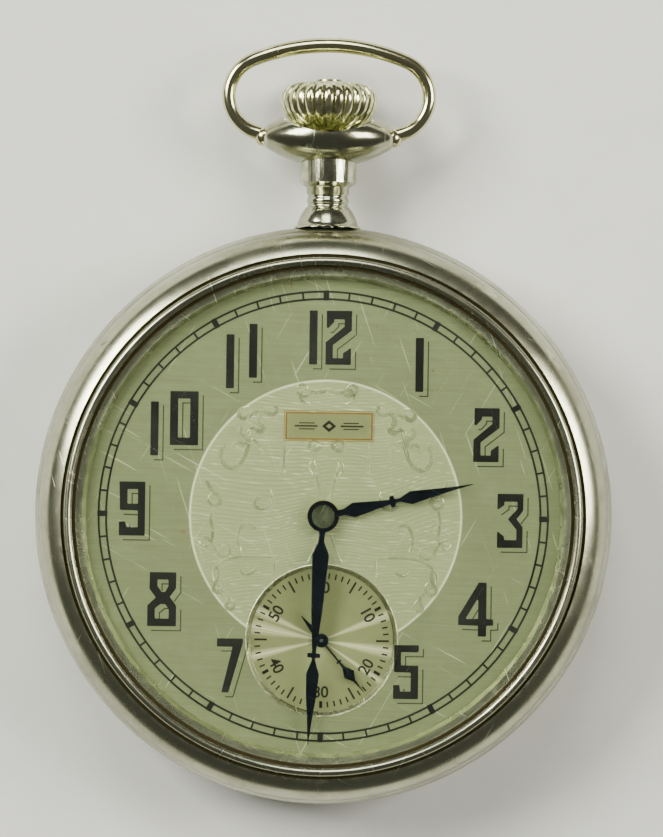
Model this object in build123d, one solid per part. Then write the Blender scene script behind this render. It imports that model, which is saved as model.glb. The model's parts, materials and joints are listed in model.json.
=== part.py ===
"""Open face pocket watch, 16 size, lying on its back: +Z out of the dial, +Y to 12 o'clock, mm."""

from build123d import *
from math import atan2, cos, degrees, hypot, pi, radians, sin
import os

# ---- case: radii and heights above the flat of the back -----------------------------------------
CASE_R = 25.4
JOINT_R = 24.86
BACK_FLAT_R = 14.0
BACK_WALL = 0.8
BACK_JOINT_Z = 2.75
BEZEL_JOINT_Z = 8.3
THREAD_R = 23.6
THREAD_BORE_R = 23.67
THREAD_PITCH = 0.35
THREAD_GROOVE, THREAD_DEPTH = 0.12, 0.1
CENTER_TOP_Z = 9.55
BODY_BORE_R = 22.4
LEDGE_R, LEDGE_Z0, LEDGE_Z1 = 21.3, 6.4, 7.6
FRONT_BORE_R = 21.7
BEZEL_FOOT_Z = 9.72
BEZEL_GROOVE_R = 22.8
BEZEL_SHOULDER_Z = 11.4
CRYSTAL_R = 21.5
CRYSTAL_SEAT_Z = 10.8
SIGHT_R = 20.65

# ---- pendant, bow and crown: distances along +Y from the case centre ----------------------------
STEM_Z = 5.2
NECK_TOP_Y = 31.6
BOW_AXIS_Y = 33.31
HEAD_HALF = 5.65
HEAD_R = 2.6
HEAD_END_R = 0.88
HEAD_DEPTH = 1.5
CUP_R = 6.6
CUP_FLOOR_Y = 33.59
BOW_WIRE_R = 0.68
BOW_SIDE_X, BOW_SIDE_Y, BOW_SIDE_R = 5.45, 36.95, 3.4
BOW_TOP_Y = 41.45
BOW_GAP = 0.03
BOW_BALL_OUT = 0.1
BOW_DROP = 18.0
PIVOT_R, PIVOT_BORE_R = 0.45, 0.48
CROWN_R = 4.33
CROWN_RIBS = 28
CROWN_FLUTE_R = 0.17
STEM_R, SLEEVE_BORE_R, NECK_BORE_R = 1.05, 1.1, 1.6
STEM_SQUARE = 1.1
ARBOR_R, ARBOR_BORE_R = 0.9, 0.95

# ---- movement: heights of the layers ------------------------------------------------------------
PLATE_R, PLATE_Z0, PLATE_Z1, PLATE_RIM_Z = 21.2, 6.4, 8.4, 9.2
RECESS_R = 20.25
BRIDGE_R, BRIDGE_Z0, BRIDGE_Z1 = 20.6, 2.35, 3.6
COCK_Z0, COCK_Z1 = 1.9, 3.1
WINDING_Z0, WINDING_Z1 = 1.75, 2.3
LEVER_Z0, LEVER_Z1 = 8.45, 8.7
DIAL_Z0, DIAL_Z1, DIAL_R = 9.2, 9.6, 21.2
SECONDS_DIAL_R, SECONDS_RIM_R, SECONDS_DIAL_Z0 = 6.25, 6.6, 9.0
JEWEL_R, JEWEL_T = 0.75, 0.35
OIL_HOLE_R = 0.35

# ---- train: teeth and modules -------------------------------------------------------------------
BARREL_TEETH, CENTRE_LEAVES, BARREL_M = 84, 12, 0.2
CENTRE_TEETH, THIRD_LEAVES, CENTRE_M = 80, 10, 0.15
THIRD_TEETH, FOURTH_LEAVES, THIRD_M = 75, 10, 0.13
FOURTH_TEETH, ESCAPE_LEAVES, FOURTH_M = 80, 8, 0.12
CANNON_LEAVES, MINUTE_TEETH, MINUTE_M = 12, 36, 0.15
MINUTE_LEAVES, HOUR_TEETH, HOUR_M = 10, 40, 0.144
SETTING_TEETH = 24
CROWN_TEETH, RATCHET_TEETH, PINION_TEETH, WINDING_M = 40, 42, 20, 0.3
ESCAPE_TEETH, ESCAPE_R, ESCAPE_ROOT_R = 15, 3.5, 2.75
PALLET_SPAN = 30.0
PALLET_BRIDGE_Z0, PALLET_BRIDGE_Z1 = 4.75, 5.05
FORK_TO_BALANCE = 4.5
JEWEL_ORBIT = 0.73
STONE_END_R = 4.2

# ---- tooth shapes, in modules -------------------------------------------------------------------
TOOTH = dict(width=1.4, root=-1.4, shoulder=0.75, shoulder_share=0.72, tip=1.25, tip_share=0.25)
LEAF = dict(width=1.05, root=-1.75, shoulder=0.4, shoulder_share=0.8, tip=0.7, tip_share=0.35)

# ---- hands: shown time 2:30:23, as degrees clockwise from 12 ------------------------------------
HOUR_ANGLE, MINUTE_ANGLE, SECONDS_ANGLE = 77.1, 183.1, 139.9
HOUR_Z0, MINUTE_Z0, SECONDS_Z0, HAND_T = 10.1, 10.6, 9.68, 0.16


def polar(origin, distance, direction):
    """The point at a distance from an origin, along a direction in radians."""
    return (origin[0] + distance * cos(direction), origin[1] + distance * sin(direction))


def bearing(a, b):
    """The direction in radians from point a to point b."""
    return atan2(b[1] - a[1], b[0] - a[0])


def third_corner(a, b, from_a, from_b, side):
    """The point at given distances from a and b; side is +1 or -1 to pick one of the two."""
    span = hypot(b[0] - a[0], b[1] - a[1])
    along = (from_a**2 - from_b**2 + span**2) / (2 * span)
    off = (from_a**2 - along**2) ** 0.5
    return polar(polar(a, along, bearing(a, b)), off, bearing(a, b) + side * pi / 2)


# ---- where each arbor stands, seen from the dial side -------------------------------------------
CENTRE = (0.0, 0.0)
FOURTH = (0.0, -10.8)
THIRD = third_corner(
    CENTRE,
    FOURTH,
    (CENTRE_TEETH + THIRD_LEAVES) * CENTRE_M / 2,
    (THIRD_TEETH + FOURTH_LEAVES) * THIRD_M / 2,
    1,
)
ESCAPE = polar(FOURTH, (FOURTH_TEETH + ESCAPE_LEAVES) * FOURTH_M / 2, radians(202.8))
ESCAPEMENT_LINE = radians(131.2)
PALLET = polar(ESCAPE, ESCAPE_R / cos(radians(PALLET_SPAN)), ESCAPEMENT_LINE)
BALANCE = polar(PALLET, FORK_TO_BALANCE, ESCAPEMENT_LINE)
BARREL = polar(CENTRE, (BARREL_TEETH + CENTRE_LEAVES) * BARREL_M / 2, radians(20.0))
WINDING_DISTANCE = (CROWN_TEETH + RATCHET_TEETH) * WINDING_M / 2
CROWN_WHEEL = (0.0, BARREL[1] + (WINDING_DISTANCE**2 - BARREL[0] ** 2) ** 0.5)
MINUTE = (0.0, (CANNON_LEAVES + MINUTE_TEETH) * MINUTE_M / 2)
SETTING = (0.0, MINUTE[1] + (MINUTE_TEETH + SETTING_TEETH) * MINUTE_M / 2)
COCK_FOOT = (-14.8, 6.8)
BARREL_BRIDGE_FEET = [(-6.5, 15.5), (7.5, 16.5), (-7.2, 5.0), (19.0, -0.6)]
TRAIN_BRIDGE_FEET = [(14.5, -8.0), (6.5, -17.3), (-2.5, -18.3)]
PALLET_BRIDGE_FEET = [polar(PALLET, 3.2, ESCAPEMENT_LINE + side * pi / 2) for side in (-1, 1)]
CASE_SCREWS = [polar(CENTRE, 20.55, radians(a)) for a in (35, 215)]
DIAL_FEET = [polar(CENTRE, 19.2, radians(a)) for a in (60, 180, 300)]
CLICK_PIVOT = (13.3, 10.7)
SETTING_LEVER_PIVOT = (4.8, 18.4)
CLUTCH_LEVER_PIVOT = (-4.8, 13.2)

# ---- the winding parts, along +Y ----------------------------------------------------------------
PINION_Y0, PINION_Y1 = 17.25, 17.9
CLUTCH_Y0, CLUTCH_Y1, CLUTCH_R = 11.0, 14.6, 1.9
LEVER_GROOVE_Y, CLUTCH_GROOVE_Y = 19.0, 12.6
ARBOR_Y0, ARBOR_Y1 = 7.9, 22.4

# ---- foot, screw and pivot sizes ----------------------------------------------------------------
FOOT_R = 1.5
SCREW_HEAD_R, SCREW_HEAD_T, SCREW_R, SCREW_SLOT = 1.1, 0.45, 0.5, 0.22


# ---- general shapes -----------------------------------------------------------------------------
def rod(radius, z_low, z_high, at=CENTRE):
    """A cylinder between two heights."""
    return Pos(at[0], at[1], (z_low + z_high) / 2) * Cylinder(radius, z_high - z_low)


def arbor(at, steps):
    """A stepped shaft from (radius, z_low, z_high) steps."""
    shaft = rod(*steps[0], at)
    for step in steps[1:]:
        shaft += rod(*step, at)
    return shaft


def block(x, y, z):
    """A box from its (low, high) pairs."""
    size = [pair[1] - pair[0] for pair in (x, y, z)]
    centre = [(pair[0] + pair[1]) / 2 for pair in (x, y, z)]
    return Pos(*centre) * Box(*size)


def slab(sketch, z_low, z_high, at=CENTRE):
    """A flat outline made solid between two heights."""
    return Pos(at[0], at[1], z_low) * extrude(sketch, z_high - z_low)


def outline(points):
    """A closed (radius, height) outline, counter-clockwise; a third value bulges the next side out."""
    edges = []
    for start, end in zip(points, points[1:] + points[:1]):
        (r0, z0), (r1, z1) = start[:2], end[:2]
        if len(start) == 2:
            edges.append(Line((r0, 0, z0), (r1, 0, z1)))
            continue
        length = hypot(r1 - r0, z1 - z0)
        middle_r = (r0 + r1) / 2 + start[2] * (z1 - z0) / length
        middle_z = (z0 + z1) / 2 - start[2] * (r1 - r0) / length
        edges.append(ThreePointArc((r0, 0, z0), (middle_r, 0, middle_z), (r1, 0, z1)))
    return make_face(edges)


def turned(points):
    """A body of revolution about Z from its (radius, height) outline."""
    return revolve(outline(points), Axis.Z, 360)


def on_stem(shape):
    """Lay a shape made about Z along the stem axis, so that its height becomes +Y."""
    return Pos(0, 0, STEM_Z) * Rot(-90, 0, 0) * shape


def hull(circles):
    """The flat outline that wraps circles given as (centre, radius)."""
    return make_hull([edge for centre, radius in circles for edge in (Pos(*centre) * Circle(radius)).edges()])


def gear(teeth, module, phase=0.0, form=TOOTH):
    """The flat outline of a gear with one tooth centred on the phase, in radians."""
    pitch_r = teeth * module / 2
    half = form["width"] * module / 2
    side = [
        (pitch_r + form["root"] * module, half * (1 + form["root"] * module / pitch_r)),
        (pitch_r, half),
        (pitch_r + form["shoulder"] * module, half * form["shoulder_share"]),
        (pitch_r + form["tip"] * module, half * form["tip_share"]),
    ]
    points = []
    for i in range(teeth):
        middle = phase + 2 * pi * i / teeth
        points += [polar(CENTRE, r, middle - w / r) for r, w in side]
        points += [polar(CENTRE, r, middle + w / r) for r, w in reversed(side)]
    return make_face(Polyline(*points, close=True))


def mesh_phase(phase, teeth, mate_teeth, direction):
    """The phase at which a mate, lying in a direction, takes a tooth of the first gear in a gap."""
    return direction + pi - (phase - direction) * teeth / mate_teeth + pi / mate_teeth


def windows(arms, rim_r, hub_r, bar):
    """The openings between the arms of a wheel."""
    gaps = Circle(rim_r) - Circle(hub_r)
    for i in range(arms):
        gaps -= Rot(0, 0, 360 * i / arms) * Pos(rim_r / 2, 0) * Rectangle(rim_r, bar)
    return gaps


def screw(at, head_z, thread_end_z, head_r=SCREW_HEAD_R, shank_r=SCREW_R):
    """A slotted screw whose head starts at head_z and whose thread runs to thread_end_z."""
    up = 1 if thread_end_z > head_z else -1
    seat_z = head_z + up * SCREW_HEAD_T
    body = rod(head_r, min(head_z, seat_z), max(head_z, seat_z), at)
    body += rod(shank_r, min(seat_z, thread_end_z), max(seat_z, thread_end_z), at)
    slot_z = sorted((head_z - up * 0.1, head_z + up * 0.2))
    return body - Pos(at[0], at[1], sum(slot_z) / 2) * Rot(0, 0, 30) * Box(3 * head_r, SCREW_SLOT, 0.3)


def spiral(inner_r, pitch, half_turns, thickness):
    """The flat outline of a spiral strip made of half circles, and where its outer end lies."""
    inside, outside = [], []
    for i in range(half_turns):
        radius = inner_r + i * pitch / 2
        side = 1 if i % 2 == 0 else -1
        centre_x = 0 if side == 1 else pitch / 2
        for edges, r in ((inside, radius), (outside, radius + thickness)):
            start, end = (centre_x + side * r, 0), (centre_x - side * r, 0)
            edges.append(ThreePointArc(start, (centre_x, side * r), end))
    first = Line(inside[0] @ 0, outside[0] @ 0)
    last = Line(inside[-1] @ 1, outside[-1] @ 1)
    return make_face(inside + outside + [first, last]), outside[-1] @ 1


def group(solids):
    """Separate solids kept together in one node."""
    return Compound(children=list(solids))


# ---- case ---------------------------------------------------------------------------------------
def back_cover():
    """The screw back: a shallow dish with a flat resting face and a threaded skirt."""
    return turned([
        (0, 0), (BACK_FLAT_R, 0, 0.288), (23.4, 1.15, 0.3), (JOINT_R, BACK_JOINT_Z),
        (THREAD_BORE_R, BACK_JOINT_Z), (THREAD_BORE_R, 1.98), (23.0, 1.98, -0.25),
        (BACK_FLAT_R, BACK_WALL), (0, BACK_WALL),
    ])


def case_center():
    """The middle band, threaded front and back, with the ledge that carries the movement."""
    body = turned([
        (BODY_BORE_R, 2.05), (THREAD_R, 2.05), (THREAD_R, BACK_JOINT_Z),
        (JOINT_R, BACK_JOINT_Z, CASE_R - JOINT_R), (JOINT_R, BEZEL_JOINT_Z),
        (THREAD_R, BEZEL_JOINT_Z), (THREAD_R, CENTER_TOP_Z), (FRONT_BORE_R, CENTER_TOP_Z),
        (FRONT_BORE_R, LEDGE_Z1), (LEDGE_R, LEDGE_Z1), (LEDGE_R, LEDGE_Z0),
        (BODY_BORE_R, LEDGE_Z0),
    ])
    for turn in (1, 2, 3):
        groove_z = BEZEL_JOINT_Z + THREAD_PITCH * turn
        groove_top = groove_z + THREAD_GROOVE
        body -= rod(THREAD_R + THREAD_DEPTH, groove_z, groove_top) - rod(THREAD_R - THREAD_DEPTH, groove_z, groove_top)
    return body - on_stem(rod(NECK_BORE_R, 20.0, 27.0))


def bezel():
    """The screw bezel: a broad rounded ring, a groove, a narrow bead and the crystal's seat."""
    return turned([
        (THREAD_BORE_R, BEZEL_JOINT_Z + 0.03), (JOINT_R, BEZEL_JOINT_Z + 0.03, 0.62),
        (BEZEL_GROOVE_R + 0.05, BEZEL_SHOULDER_Z), (BEZEL_GROOVE_R, 11.15),
        (BEZEL_GROOVE_R - 0.15, 11.15), (BEZEL_GROOVE_R - 0.2, BEZEL_SHOULDER_Z, 0.26),
        (21.85, 11.45), (21.85, 11.2), (CRYSTAL_R + 0.04, 11.2), (CRYSTAL_R + 0.04, CRYSTAL_SEAT_Z),
        (20.95, CRYSTAL_SEAT_Z), (SIGHT_R, BEZEL_FOOT_Z), (THREAD_BORE_R, BEZEL_FOOT_Z),
    ])


def dome_sagitta(edge_r, rise):
    """The sagitta that makes a side from the axis to edge_r part of a sphere centred on the axis."""
    sphere_r = (edge_r**2 + rise**2) / (2 * rise)
    return sphere_r - (sphere_r**2 - (edge_r**2 + rise**2) / 4) ** 0.5


def crystal():
    """The domed glass, standing on a short foot in the bezel's seat."""
    foot_z, inner_r = CRYSTAL_SEAT_Z + 0.02, 21.0
    return turned([
        (inner_r, foot_z), (CRYSTAL_R, foot_z), (CRYSTAL_R, 11.4, dome_sagitta(CRYSTAL_R, 2.0)),
        (0, 13.4), (0, 12.75, -dome_sagitta(inner_r, 1.8)), (inner_r, 10.95),
    ])


def head_blank():
    """The boat-shaped pendant head before it is bored: turned about the bow's axis, deeper front to back."""
    bulge = HEAD_R - HEAD_END_R
    profile = turned([(0, -HEAD_HALF), (HEAD_END_R, -HEAD_HALF, bulge), (HEAD_END_R, HEAD_HALF), (0, HEAD_HALF)])
    return Pos(0, BOW_AXIS_Y, STEM_Z) * scale(Rot(0, 90, 0) * profile, by=(1, 1, HEAD_DEPTH))


def bow_head():
    """The pendant head: hollowed between its two ears for the crown, and bored for stem and bow."""
    body = head_blank() - rod(CUP_R, 0, 12, (0, CUP_FLOOR_Y + CUP_R))
    body -= on_stem(rod(1.35, 28.0, 36.0))
    holes = Cylinder(PIVOT_BORE_R, 1.6)
    for side in (-1, 1):
        body -= Pos(side * HEAD_HALF, BOW_AXIS_Y, STEM_Z) * Rot(0, 90, 0) * holes
    return body


def pendant_neck():
    """The turned neck between the case and the pendant head."""
    body = on_stem(turned([
        (NECK_BORE_R, 24.6), (2.95, 24.6), (2.95, 25.4), (2.7, 25.5, 0.12), (1.9, 27.15),
        (1.76, 27.2), (1.76, 27.45, 0.1), (1.76, 27.95), (1.72, 28.2), (1.88, 28.3),
        (1.88, 28.85), (2.5, 29.3), (2.5, NECK_TOP_Y), (NECK_BORE_R, NECK_TOP_Y),
    ]))
    return body - head_blank() - rod(CASE_R, 0, 12)


def bent_rod(centre, radius, start, end):
    """A piece of bow wire on an arc in the bow's plane, between two angles in radians."""
    section = Pos(radius, 0, 0) * Rot(90, 0, 0) * Circle(BOW_WIRE_R)
    arc = revolve(section, axis=Axis.Z, revolution_arc=degrees(end - start))
    return Pos(*centre, STEM_Z) * Rot(0, 0, degrees(start)) * arc


def bow():
    """The oval bow: a top arc, two round sides and straight ends with pivots into the head."""
    gap = (BOW_TOP_Y - BOW_SIDE_R) - BOW_SIDE_Y
    top_y = ((BOW_TOP_Y - BOW_SIDE_R) ** 2 - BOW_SIDE_Y**2 - BOW_SIDE_X**2) / (2 * gap)
    turn = bearing((0, top_y), (BOW_SIDE_X, BOW_SIDE_Y))
    low = radians(BOW_DROP - 90)
    hip = polar((BOW_SIDE_X, BOW_SIDE_Y), BOW_SIDE_R, low)
    end_x = HEAD_HALF + BOW_GAP
    straight = (hip[0] - end_x) / cos(radians(BOW_DROP))
    half = bent_rod((BOW_SIDE_X, BOW_SIDE_Y), BOW_SIDE_R, low, turn)
    tail = Cylinder(BOW_WIRE_R, straight, align=(Align.CENTER, Align.CENTER, Align.MIN))
    half += Pos(*hip, STEM_Z) * Rot(0, 0, BOW_DROP) * Rot(0, -90, 0) * tail
    half += Pos(end_x + BOW_BALL_OUT, BOW_AXIS_Y, STEM_Z) * Sphere(HEAD_END_R)
    half -= block((0, end_x), (BOW_AXIS_Y - 2, BOW_AXIS_Y + 2), (0, 12))
    half += Pos(end_x - 0.2, BOW_AXIS_Y, STEM_Z) * Rot(0, 90, 0) * Cylinder(PIVOT_R, 1.0)
    top = bent_rod((0, top_y), BOW_TOP_Y - top_y, turn, pi - turn)
    turned_half = Pos(0, 0, STEM_Z) * Rot(0, 180, 0) * Pos(0, 0, -STEM_Z) * half
    return top + half + turned_half


def pendant_sleeve():
    """The sleeve inside the neck, slit so that it grips the stem in either position."""
    sleeve = rod(NECK_BORE_R, 25.7, 30.4) - rod(SLEEVE_BORE_R, 25.0, 31.0)
    for turn in (0, 90):
        sleeve -= Rot(0, 0, turn) * block((-2, 2), (-0.12, 0.12), (25.0, 28.4))
    return on_stem(sleeve)


def crown():
    """The winding crown, with rounded ribs and a small flat boss on top."""
    body = turned([
        (0, 33.62), (1.25, 33.62), (1.4, 33.85), (3.55, 34.9, 0.05), (4.08, 35.8, 0.05),
        (CROWN_R, 36.8, 0.12), (3.75, 37.85, 0.1), (2.6, 38.14), (1.15, 38.17),
        (1.15, 38.44), (0, 38.44),
    ])
    cutters = [((1.55, 33.9), (3.72, 34.95)), ((3.72, 34.95), (4.5, 36.7)), ((4.5, 36.7), (3.7, 38.1))]
    for i in range(CROWN_RIBS):
        for (r0, z0), (r1, z1) in cutters:
            length = hypot(r1 - r0, z1 - z0)
            tool = Solid.make_cylinder(CROWN_FLUTE_R, length, Plane((r0, 0, z0), z_dir=(r1 - r0, 0, z1 - z0)))
            body -= Rot(0, 0, 360 * i / CROWN_RIBS) * tool
    return on_stem(body - rod(STEM_R, 33.0, 36.0))


def stem():
    """The stem: round in the pendant, square where it drives the winding arbor."""
    body = rod(STEM_R, ARBOR_Y1 + 0.1, 36.0)
    body += Pos(0, 0, ARBOR_Y1 - 1.0) * Box(STEM_SQUARE, STEM_SQUARE, 2.2)
    return on_stem(body)


def case_screws():
    """Two screws whose heads bear on the case ledge and hold the movement in."""
    return group(screw(at, LEDGE_Z0 - SCREW_HEAD_T, LEDGE_Z1, head_r=1.3) for at in CASE_SCREWS)


# ---- plates and bridges -------------------------------------------------------------------------
def pillar_plate():
    """The main plate, recessed on the dial side, with the winding bearings and the gear posts."""
    body = rod(PLATE_R, PLATE_Z0, PLATE_RIM_Z) + rod(21.59, LEDGE_Z1, LEDGE_Z1 + 0.6)
    body -= rod(RECESS_R, PLATE_Z1, PLATE_RIM_Z + 1)
    body += block((-2.2, 2.2), (20.0, 20.9), (3.7, PLATE_Z0)) + block((-1.2, 1.2), (8.0, 9.2), (4.0, PLATE_Z0))
    body -= on_stem(rod(ARBOR_BORE_R, 7.0, 22.0))
    body -= block((-3.4, 3.4), (17.0, 18.2), (PLATE_Z0 - 1, PLATE_Z1 + 1))
    body -= block((-2.1, 2.1), (10.0, 17.1), (PLATE_Z0 - 1, 7.3))
    body -= block((-0.7, 0.7), (LEVER_GROOVE_Y - 0.6, 20.6), (PLATE_Z0 - 1, PLATE_Z1 + 1))
    body -= block((-0.7, 0.7), (10.9, CLUTCH_GROOVE_Y + 0.8), (PLATE_Z0, PLATE_Z1 + 1))
    body -= rod(2.15, 6.75, PLATE_Z1 + 1, SETTING)
    body += rod(0.45, 6.7, 8.95, SETTING) + rod(0.4, PLATE_Z1 - 0.1, 9.12, MINUTE)
    body -= rod(0.5, PLATE_Z0 - 1, PLATE_Z1 + 1)
    for at in (THIRD, FOURTH, ESCAPE, PALLET, BALANCE):
        body -= rod(OIL_HOLE_R, PLATE_Z0 - 1, PLATE_Z1 + 1, at) + rod(JEWEL_R, PLATE_Z0 - 1, PLATE_Z0 + JEWEL_T, at)
    for at in BARREL_BRIDGE_FEET + TRAIN_BRIDGE_FEET + [COCK_FOOT] + PALLET_BRIDGE_FEET + CASE_SCREWS:
        body -= rod(SCREW_R, PLATE_Z0 - 1, LEDGE_Z1, at)
    for at in (SETTING_LEVER_PIVOT, CLUTCH_LEVER_PIVOT):
        body -= rod(SCREW_R, 7.2, PLATE_Z1 + 1, at)
    for at in DIAL_FEET:
        body -= rod(0.45, 7.3, PLATE_Z1 + 1, at)
    return body - rod(0.8, PLATE_Z0 - 1, PLATE_Z0 + 0.4, BARREL)


def bridge(outline_sketch, feet, z_low, z_high, foot_r=FOOT_R):
    """A bridge with round feet down to the pillar plate and a countersunk screw hole over each."""
    body = slab(outline_sketch, z_low, z_high)
    for at in feet:
        body += rod(foot_r, z_high - 0.1, PLATE_Z0, at)
    for at in feet:
        body -= rod(SCREW_R, z_low - 1, PLATE_Z0 + 1, at)
        body -= rod(SCREW_HEAD_R + 0.05, z_low - 1, z_low + SCREW_HEAD_T + 0.05, at)
    return body


def barrel_bridge():
    """The bridge over the barrel and centre wheel, which also carries the winding wheels."""
    sketch = Circle(BRIDGE_R) & Pos(6.0, 9.4) * Rectangle(29.2, 24.0)
    sketch -= Pos(*BALANCE) * Circle(8.6)
    body = bridge(sketch, BARREL_BRIDGE_FEET, BRIDGE_Z0, BRIDGE_Z1)
    body -= block((-3.4, 3.4), (17.0, 18.2), (BRIDGE_Z0 - 1, BRIDGE_Z1 + 1))
    body -= block((-2.1, 2.1), (10.2, 17.1), (3.2, BRIDGE_Z1 + 1))
    body -= block((-2.3, 2.3), (19.9, 21.0), (BRIDGE_Z1 - 0.01, BRIDGE_Z1 + 1))
    body -= rod(OIL_HOLE_R, 0, 5) + rod(JEWEL_R, BRIDGE_Z1 - JEWEL_T, 5)
    body -= rod(1.05, 0, 5, BARREL) + rod(0.6, 0, 5, CROWN_WHEEL)
    body -= rod(SCREW_R, 0, 3.3, CLICK_PIVOT)
    return body - rod(1.6, 0, 5, CASE_SCREWS[0])


def train_bridge():
    """The bridge over the third, fourth and escape wheels."""
    sketch = Circle(BRIDGE_R) & Pos(6.0, -12.0) * Rectangle(30.0, 18.0)
    sketch -= Pos(*BALANCE) * Circle(7.6)
    body = bridge(sketch, TRAIN_BRIDGE_FEET, BRIDGE_Z0, BRIDGE_Z1)
    for at in (THIRD, FOURTH, ESCAPE):
        body -= rod(OIL_HOLE_R, 0, 5, at) + rod(JEWEL_R, BRIDGE_Z1 - JEWEL_T, 5, at)
    return body


def balance_cock():
    """The single-footed cock over the balance, with a boss that the regulator turns on."""
    body = slab(hull([(BALANCE, 1.7), (COCK_FOOT, 3.0)]), COCK_Z0, COCK_Z1)
    body += rod(3.0, COCK_Z1 - 0.1, PLATE_Z0, COCK_FOOT) + rod(0.95, COCK_Z0 - 0.3, COCK_Z0 + 0.1, BALANCE)
    body -= rod(SCREW_R, 0, PLATE_Z0 + 1, COCK_FOOT)
    body -= rod(SCREW_HEAD_R + 0.05, 0, COCK_Z0 + SCREW_HEAD_T + 0.05, COCK_FOOT)
    return body - rod(OIL_HOLE_R, 0, 5, BALANCE) - rod(JEWEL_R, COCK_Z1 - JEWEL_T, 5, BALANCE)


def pallet_bridge():
    """The small bridge over the pallet arbor, below the rim of the balance."""
    sketch = hull([(PALLET, 1.0), (PALLET_BRIDGE_FEET[0], 0.8)])
    sketch += hull([(PALLET, 1.0), (PALLET_BRIDGE_FEET[1], 0.8)])
    body = slab(sketch, PALLET_BRIDGE_Z0, PALLET_BRIDGE_Z1)
    for at in PALLET_BRIDGE_FEET:
        body += rod(0.8, PALLET_BRIDGE_Z1 - 0.1, PLATE_Z0, at)
        body -= rod(SCREW_R, 4, 8, at)
    return body - rod(0.12, 4, 6, PALLET)


def bridge_screws():
    """The screws of the bridges and of the balance cock."""
    tops = [(at, BRIDGE_Z0) for at in BARREL_BRIDGE_FEET + TRAIN_BRIDGE_FEET] + [(COCK_FOOT, COCK_Z0)]
    large = [screw(at, top + 0.05, LEDGE_Z1) for at, top in tops]
    low_z = PALLET_BRIDGE_Z0
    small = [rod(0.75, low_z - 0.2, low_z, at) + rod(SCREW_R, low_z, LEDGE_Z1, at) for at in PALLET_BRIDGE_FEET]
    return group(large + small)


def train_jewels():
    """The pierced jewels of the pivots, set flush with the train side of plate, bridges and cock."""
    below = ((THIRD, 0.14), (FOURTH, 0.19), (ESCAPE, 0.12), (PALLET, 0.11), (BALANCE, 0.1))
    above = ((THIRD, 0.14), (FOURTH, 0.14), (ESCAPE, 0.12), (CENTRE, 0.32))
    holes = [(at, PLATE_Z0, r) for at, r in below]
    holes += [(at, BRIDGE_Z1 - JEWEL_T, r) for at, r in above]
    holes += [(BALANCE, COCK_Z1 - JEWEL_T, 0.1)]
    return group(rod(JEWEL_R, z, z + JEWEL_T, at) - rod(r, z - 1, z + 1, at) for at, z, r in holes)


# ---- barrel and winding -------------------------------------------------------------------------
BARREL_PHASE = 0.0
CROWN_PHASE = pi / 2 + pi / CROWN_TEETH
RATCHET_PHASE = mesh_phase(CROWN_PHASE, CROWN_TEETH, RATCHET_TEETH, bearing(CROWN_WHEEL, BARREL))


def barrel_drum():
    """The toothed barrel, open towards the back of the watch."""
    body = rod(8.1, 3.9, 5.1, BARREL) + slab(gear(BARREL_TEETH, BARREL_M, BARREL_PHASE), 4.6, 5.1, BARREL)
    return body - rod(7.75, 3.0, 4.85, BARREL) - rod(0.95, 3.0, 6.0, BARREL)


def barrel_cover():
    """The snap cover that closes the barrel."""
    return rod(8.1, 3.72, 3.9, BARREL) - rod(1.15, 3.0, 5.0, BARREL)


def barrel_arbor():
    """The arbor that the mainspring hooks on, squared at the back for the ratchet wheel."""
    body = arbor(BARREL, [(1.0, 2.3, 3.95), (1.6, 3.95, 4.8), (0.9, 4.8, 5.2), (0.75, 5.2, PLATE_Z0 + 0.35)])
    return body + Pos(BARREL[0], BARREL[1], (WINDING_Z0 + 2.35) / 2) * Box(1.3, 1.3, 2.35 - WINDING_Z0)


def mainspring():
    """The mainspring, partly wound between the arbor and the barrel wall."""
    strip, _ = spiral(1.75, 0.5, 23, 0.2)
    return slab(strip, 4.0, 4.75, BARREL)


def ratchet_wheel():
    """The ratchet wheel, square-holed on the barrel arbor."""
    wheel = gear(RATCHET_TEETH, WINDING_M, RATCHET_PHASE) - Rectangle(1.3, 1.3)
    return slab(wheel, WINDING_Z0, WINDING_Z1, BARREL)


def ratchet_screw():
    """The broad flat screw that holds the ratchet wheel."""
    head = rod(1.7, WINDING_Z0 - 0.3, WINDING_Z0, BARREL)
    return head - Pos(BARREL[0], BARREL[1], WINDING_Z0 - 0.3) * Rot(0, 0, 25) * Box(4, 0.3, 0.25)


def crown_wheel():
    """The crown wheel, driven by the winding pinion and driving the ratchet wheel."""
    wheel = gear(CROWN_TEETH, WINDING_M, CROWN_PHASE) - Circle(1.25)
    return slab(wheel, WINDING_Z0, WINDING_Z1, CROWN_WHEEL)


def click():
    """The click: a lever whose nose drops between two ratchet teeth when it turns in by 5 degrees."""
    pitch = 2 * pi / RATCHET_TEETH
    steps = round((radians(30) - RATCHET_PHASE) / pitch - 0.5)
    aim = RATCHET_PHASE + (steps + 0.5) * pitch
    tip_r = (RATCHET_TEETH / 2 + TOOTH["tip"]) * WINDING_M
    tip, heel = polar(BARREL, tip_r + 0.1, aim), polar(BARREL, tip_r + 0.7, aim)
    arm = polar(heel, 0.2, aim)
    tail = polar(CLICK_PIVOT, 1.6, bearing(arm, CLICK_PIVOT))
    sketch = hull([(CLICK_PIVOT, 0.95), (arm, 0.3)]) + hull([(arm, 0.3), (tip, 0.06)])
    sketch += hull([(CLICK_PIVOT, 0.95), (tail, 0.4)])
    return slab(sketch - Pos(*CLICK_PIVOT) * Circle(SCREW_R + 0.03), WINDING_Z0 + 0.02, WINDING_Z1)


def click_spring():
    """The click's spring, a thin blade from its foot to just short of the click's tail."""
    foot, tip = (8.0, 14.6), (11.6, 12.6)
    return slab(hull([(foot, 0.12), (tip, 0.12)]) + Pos(*foot) * Circle(0.7), 1.85, BRIDGE_Z0)


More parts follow.
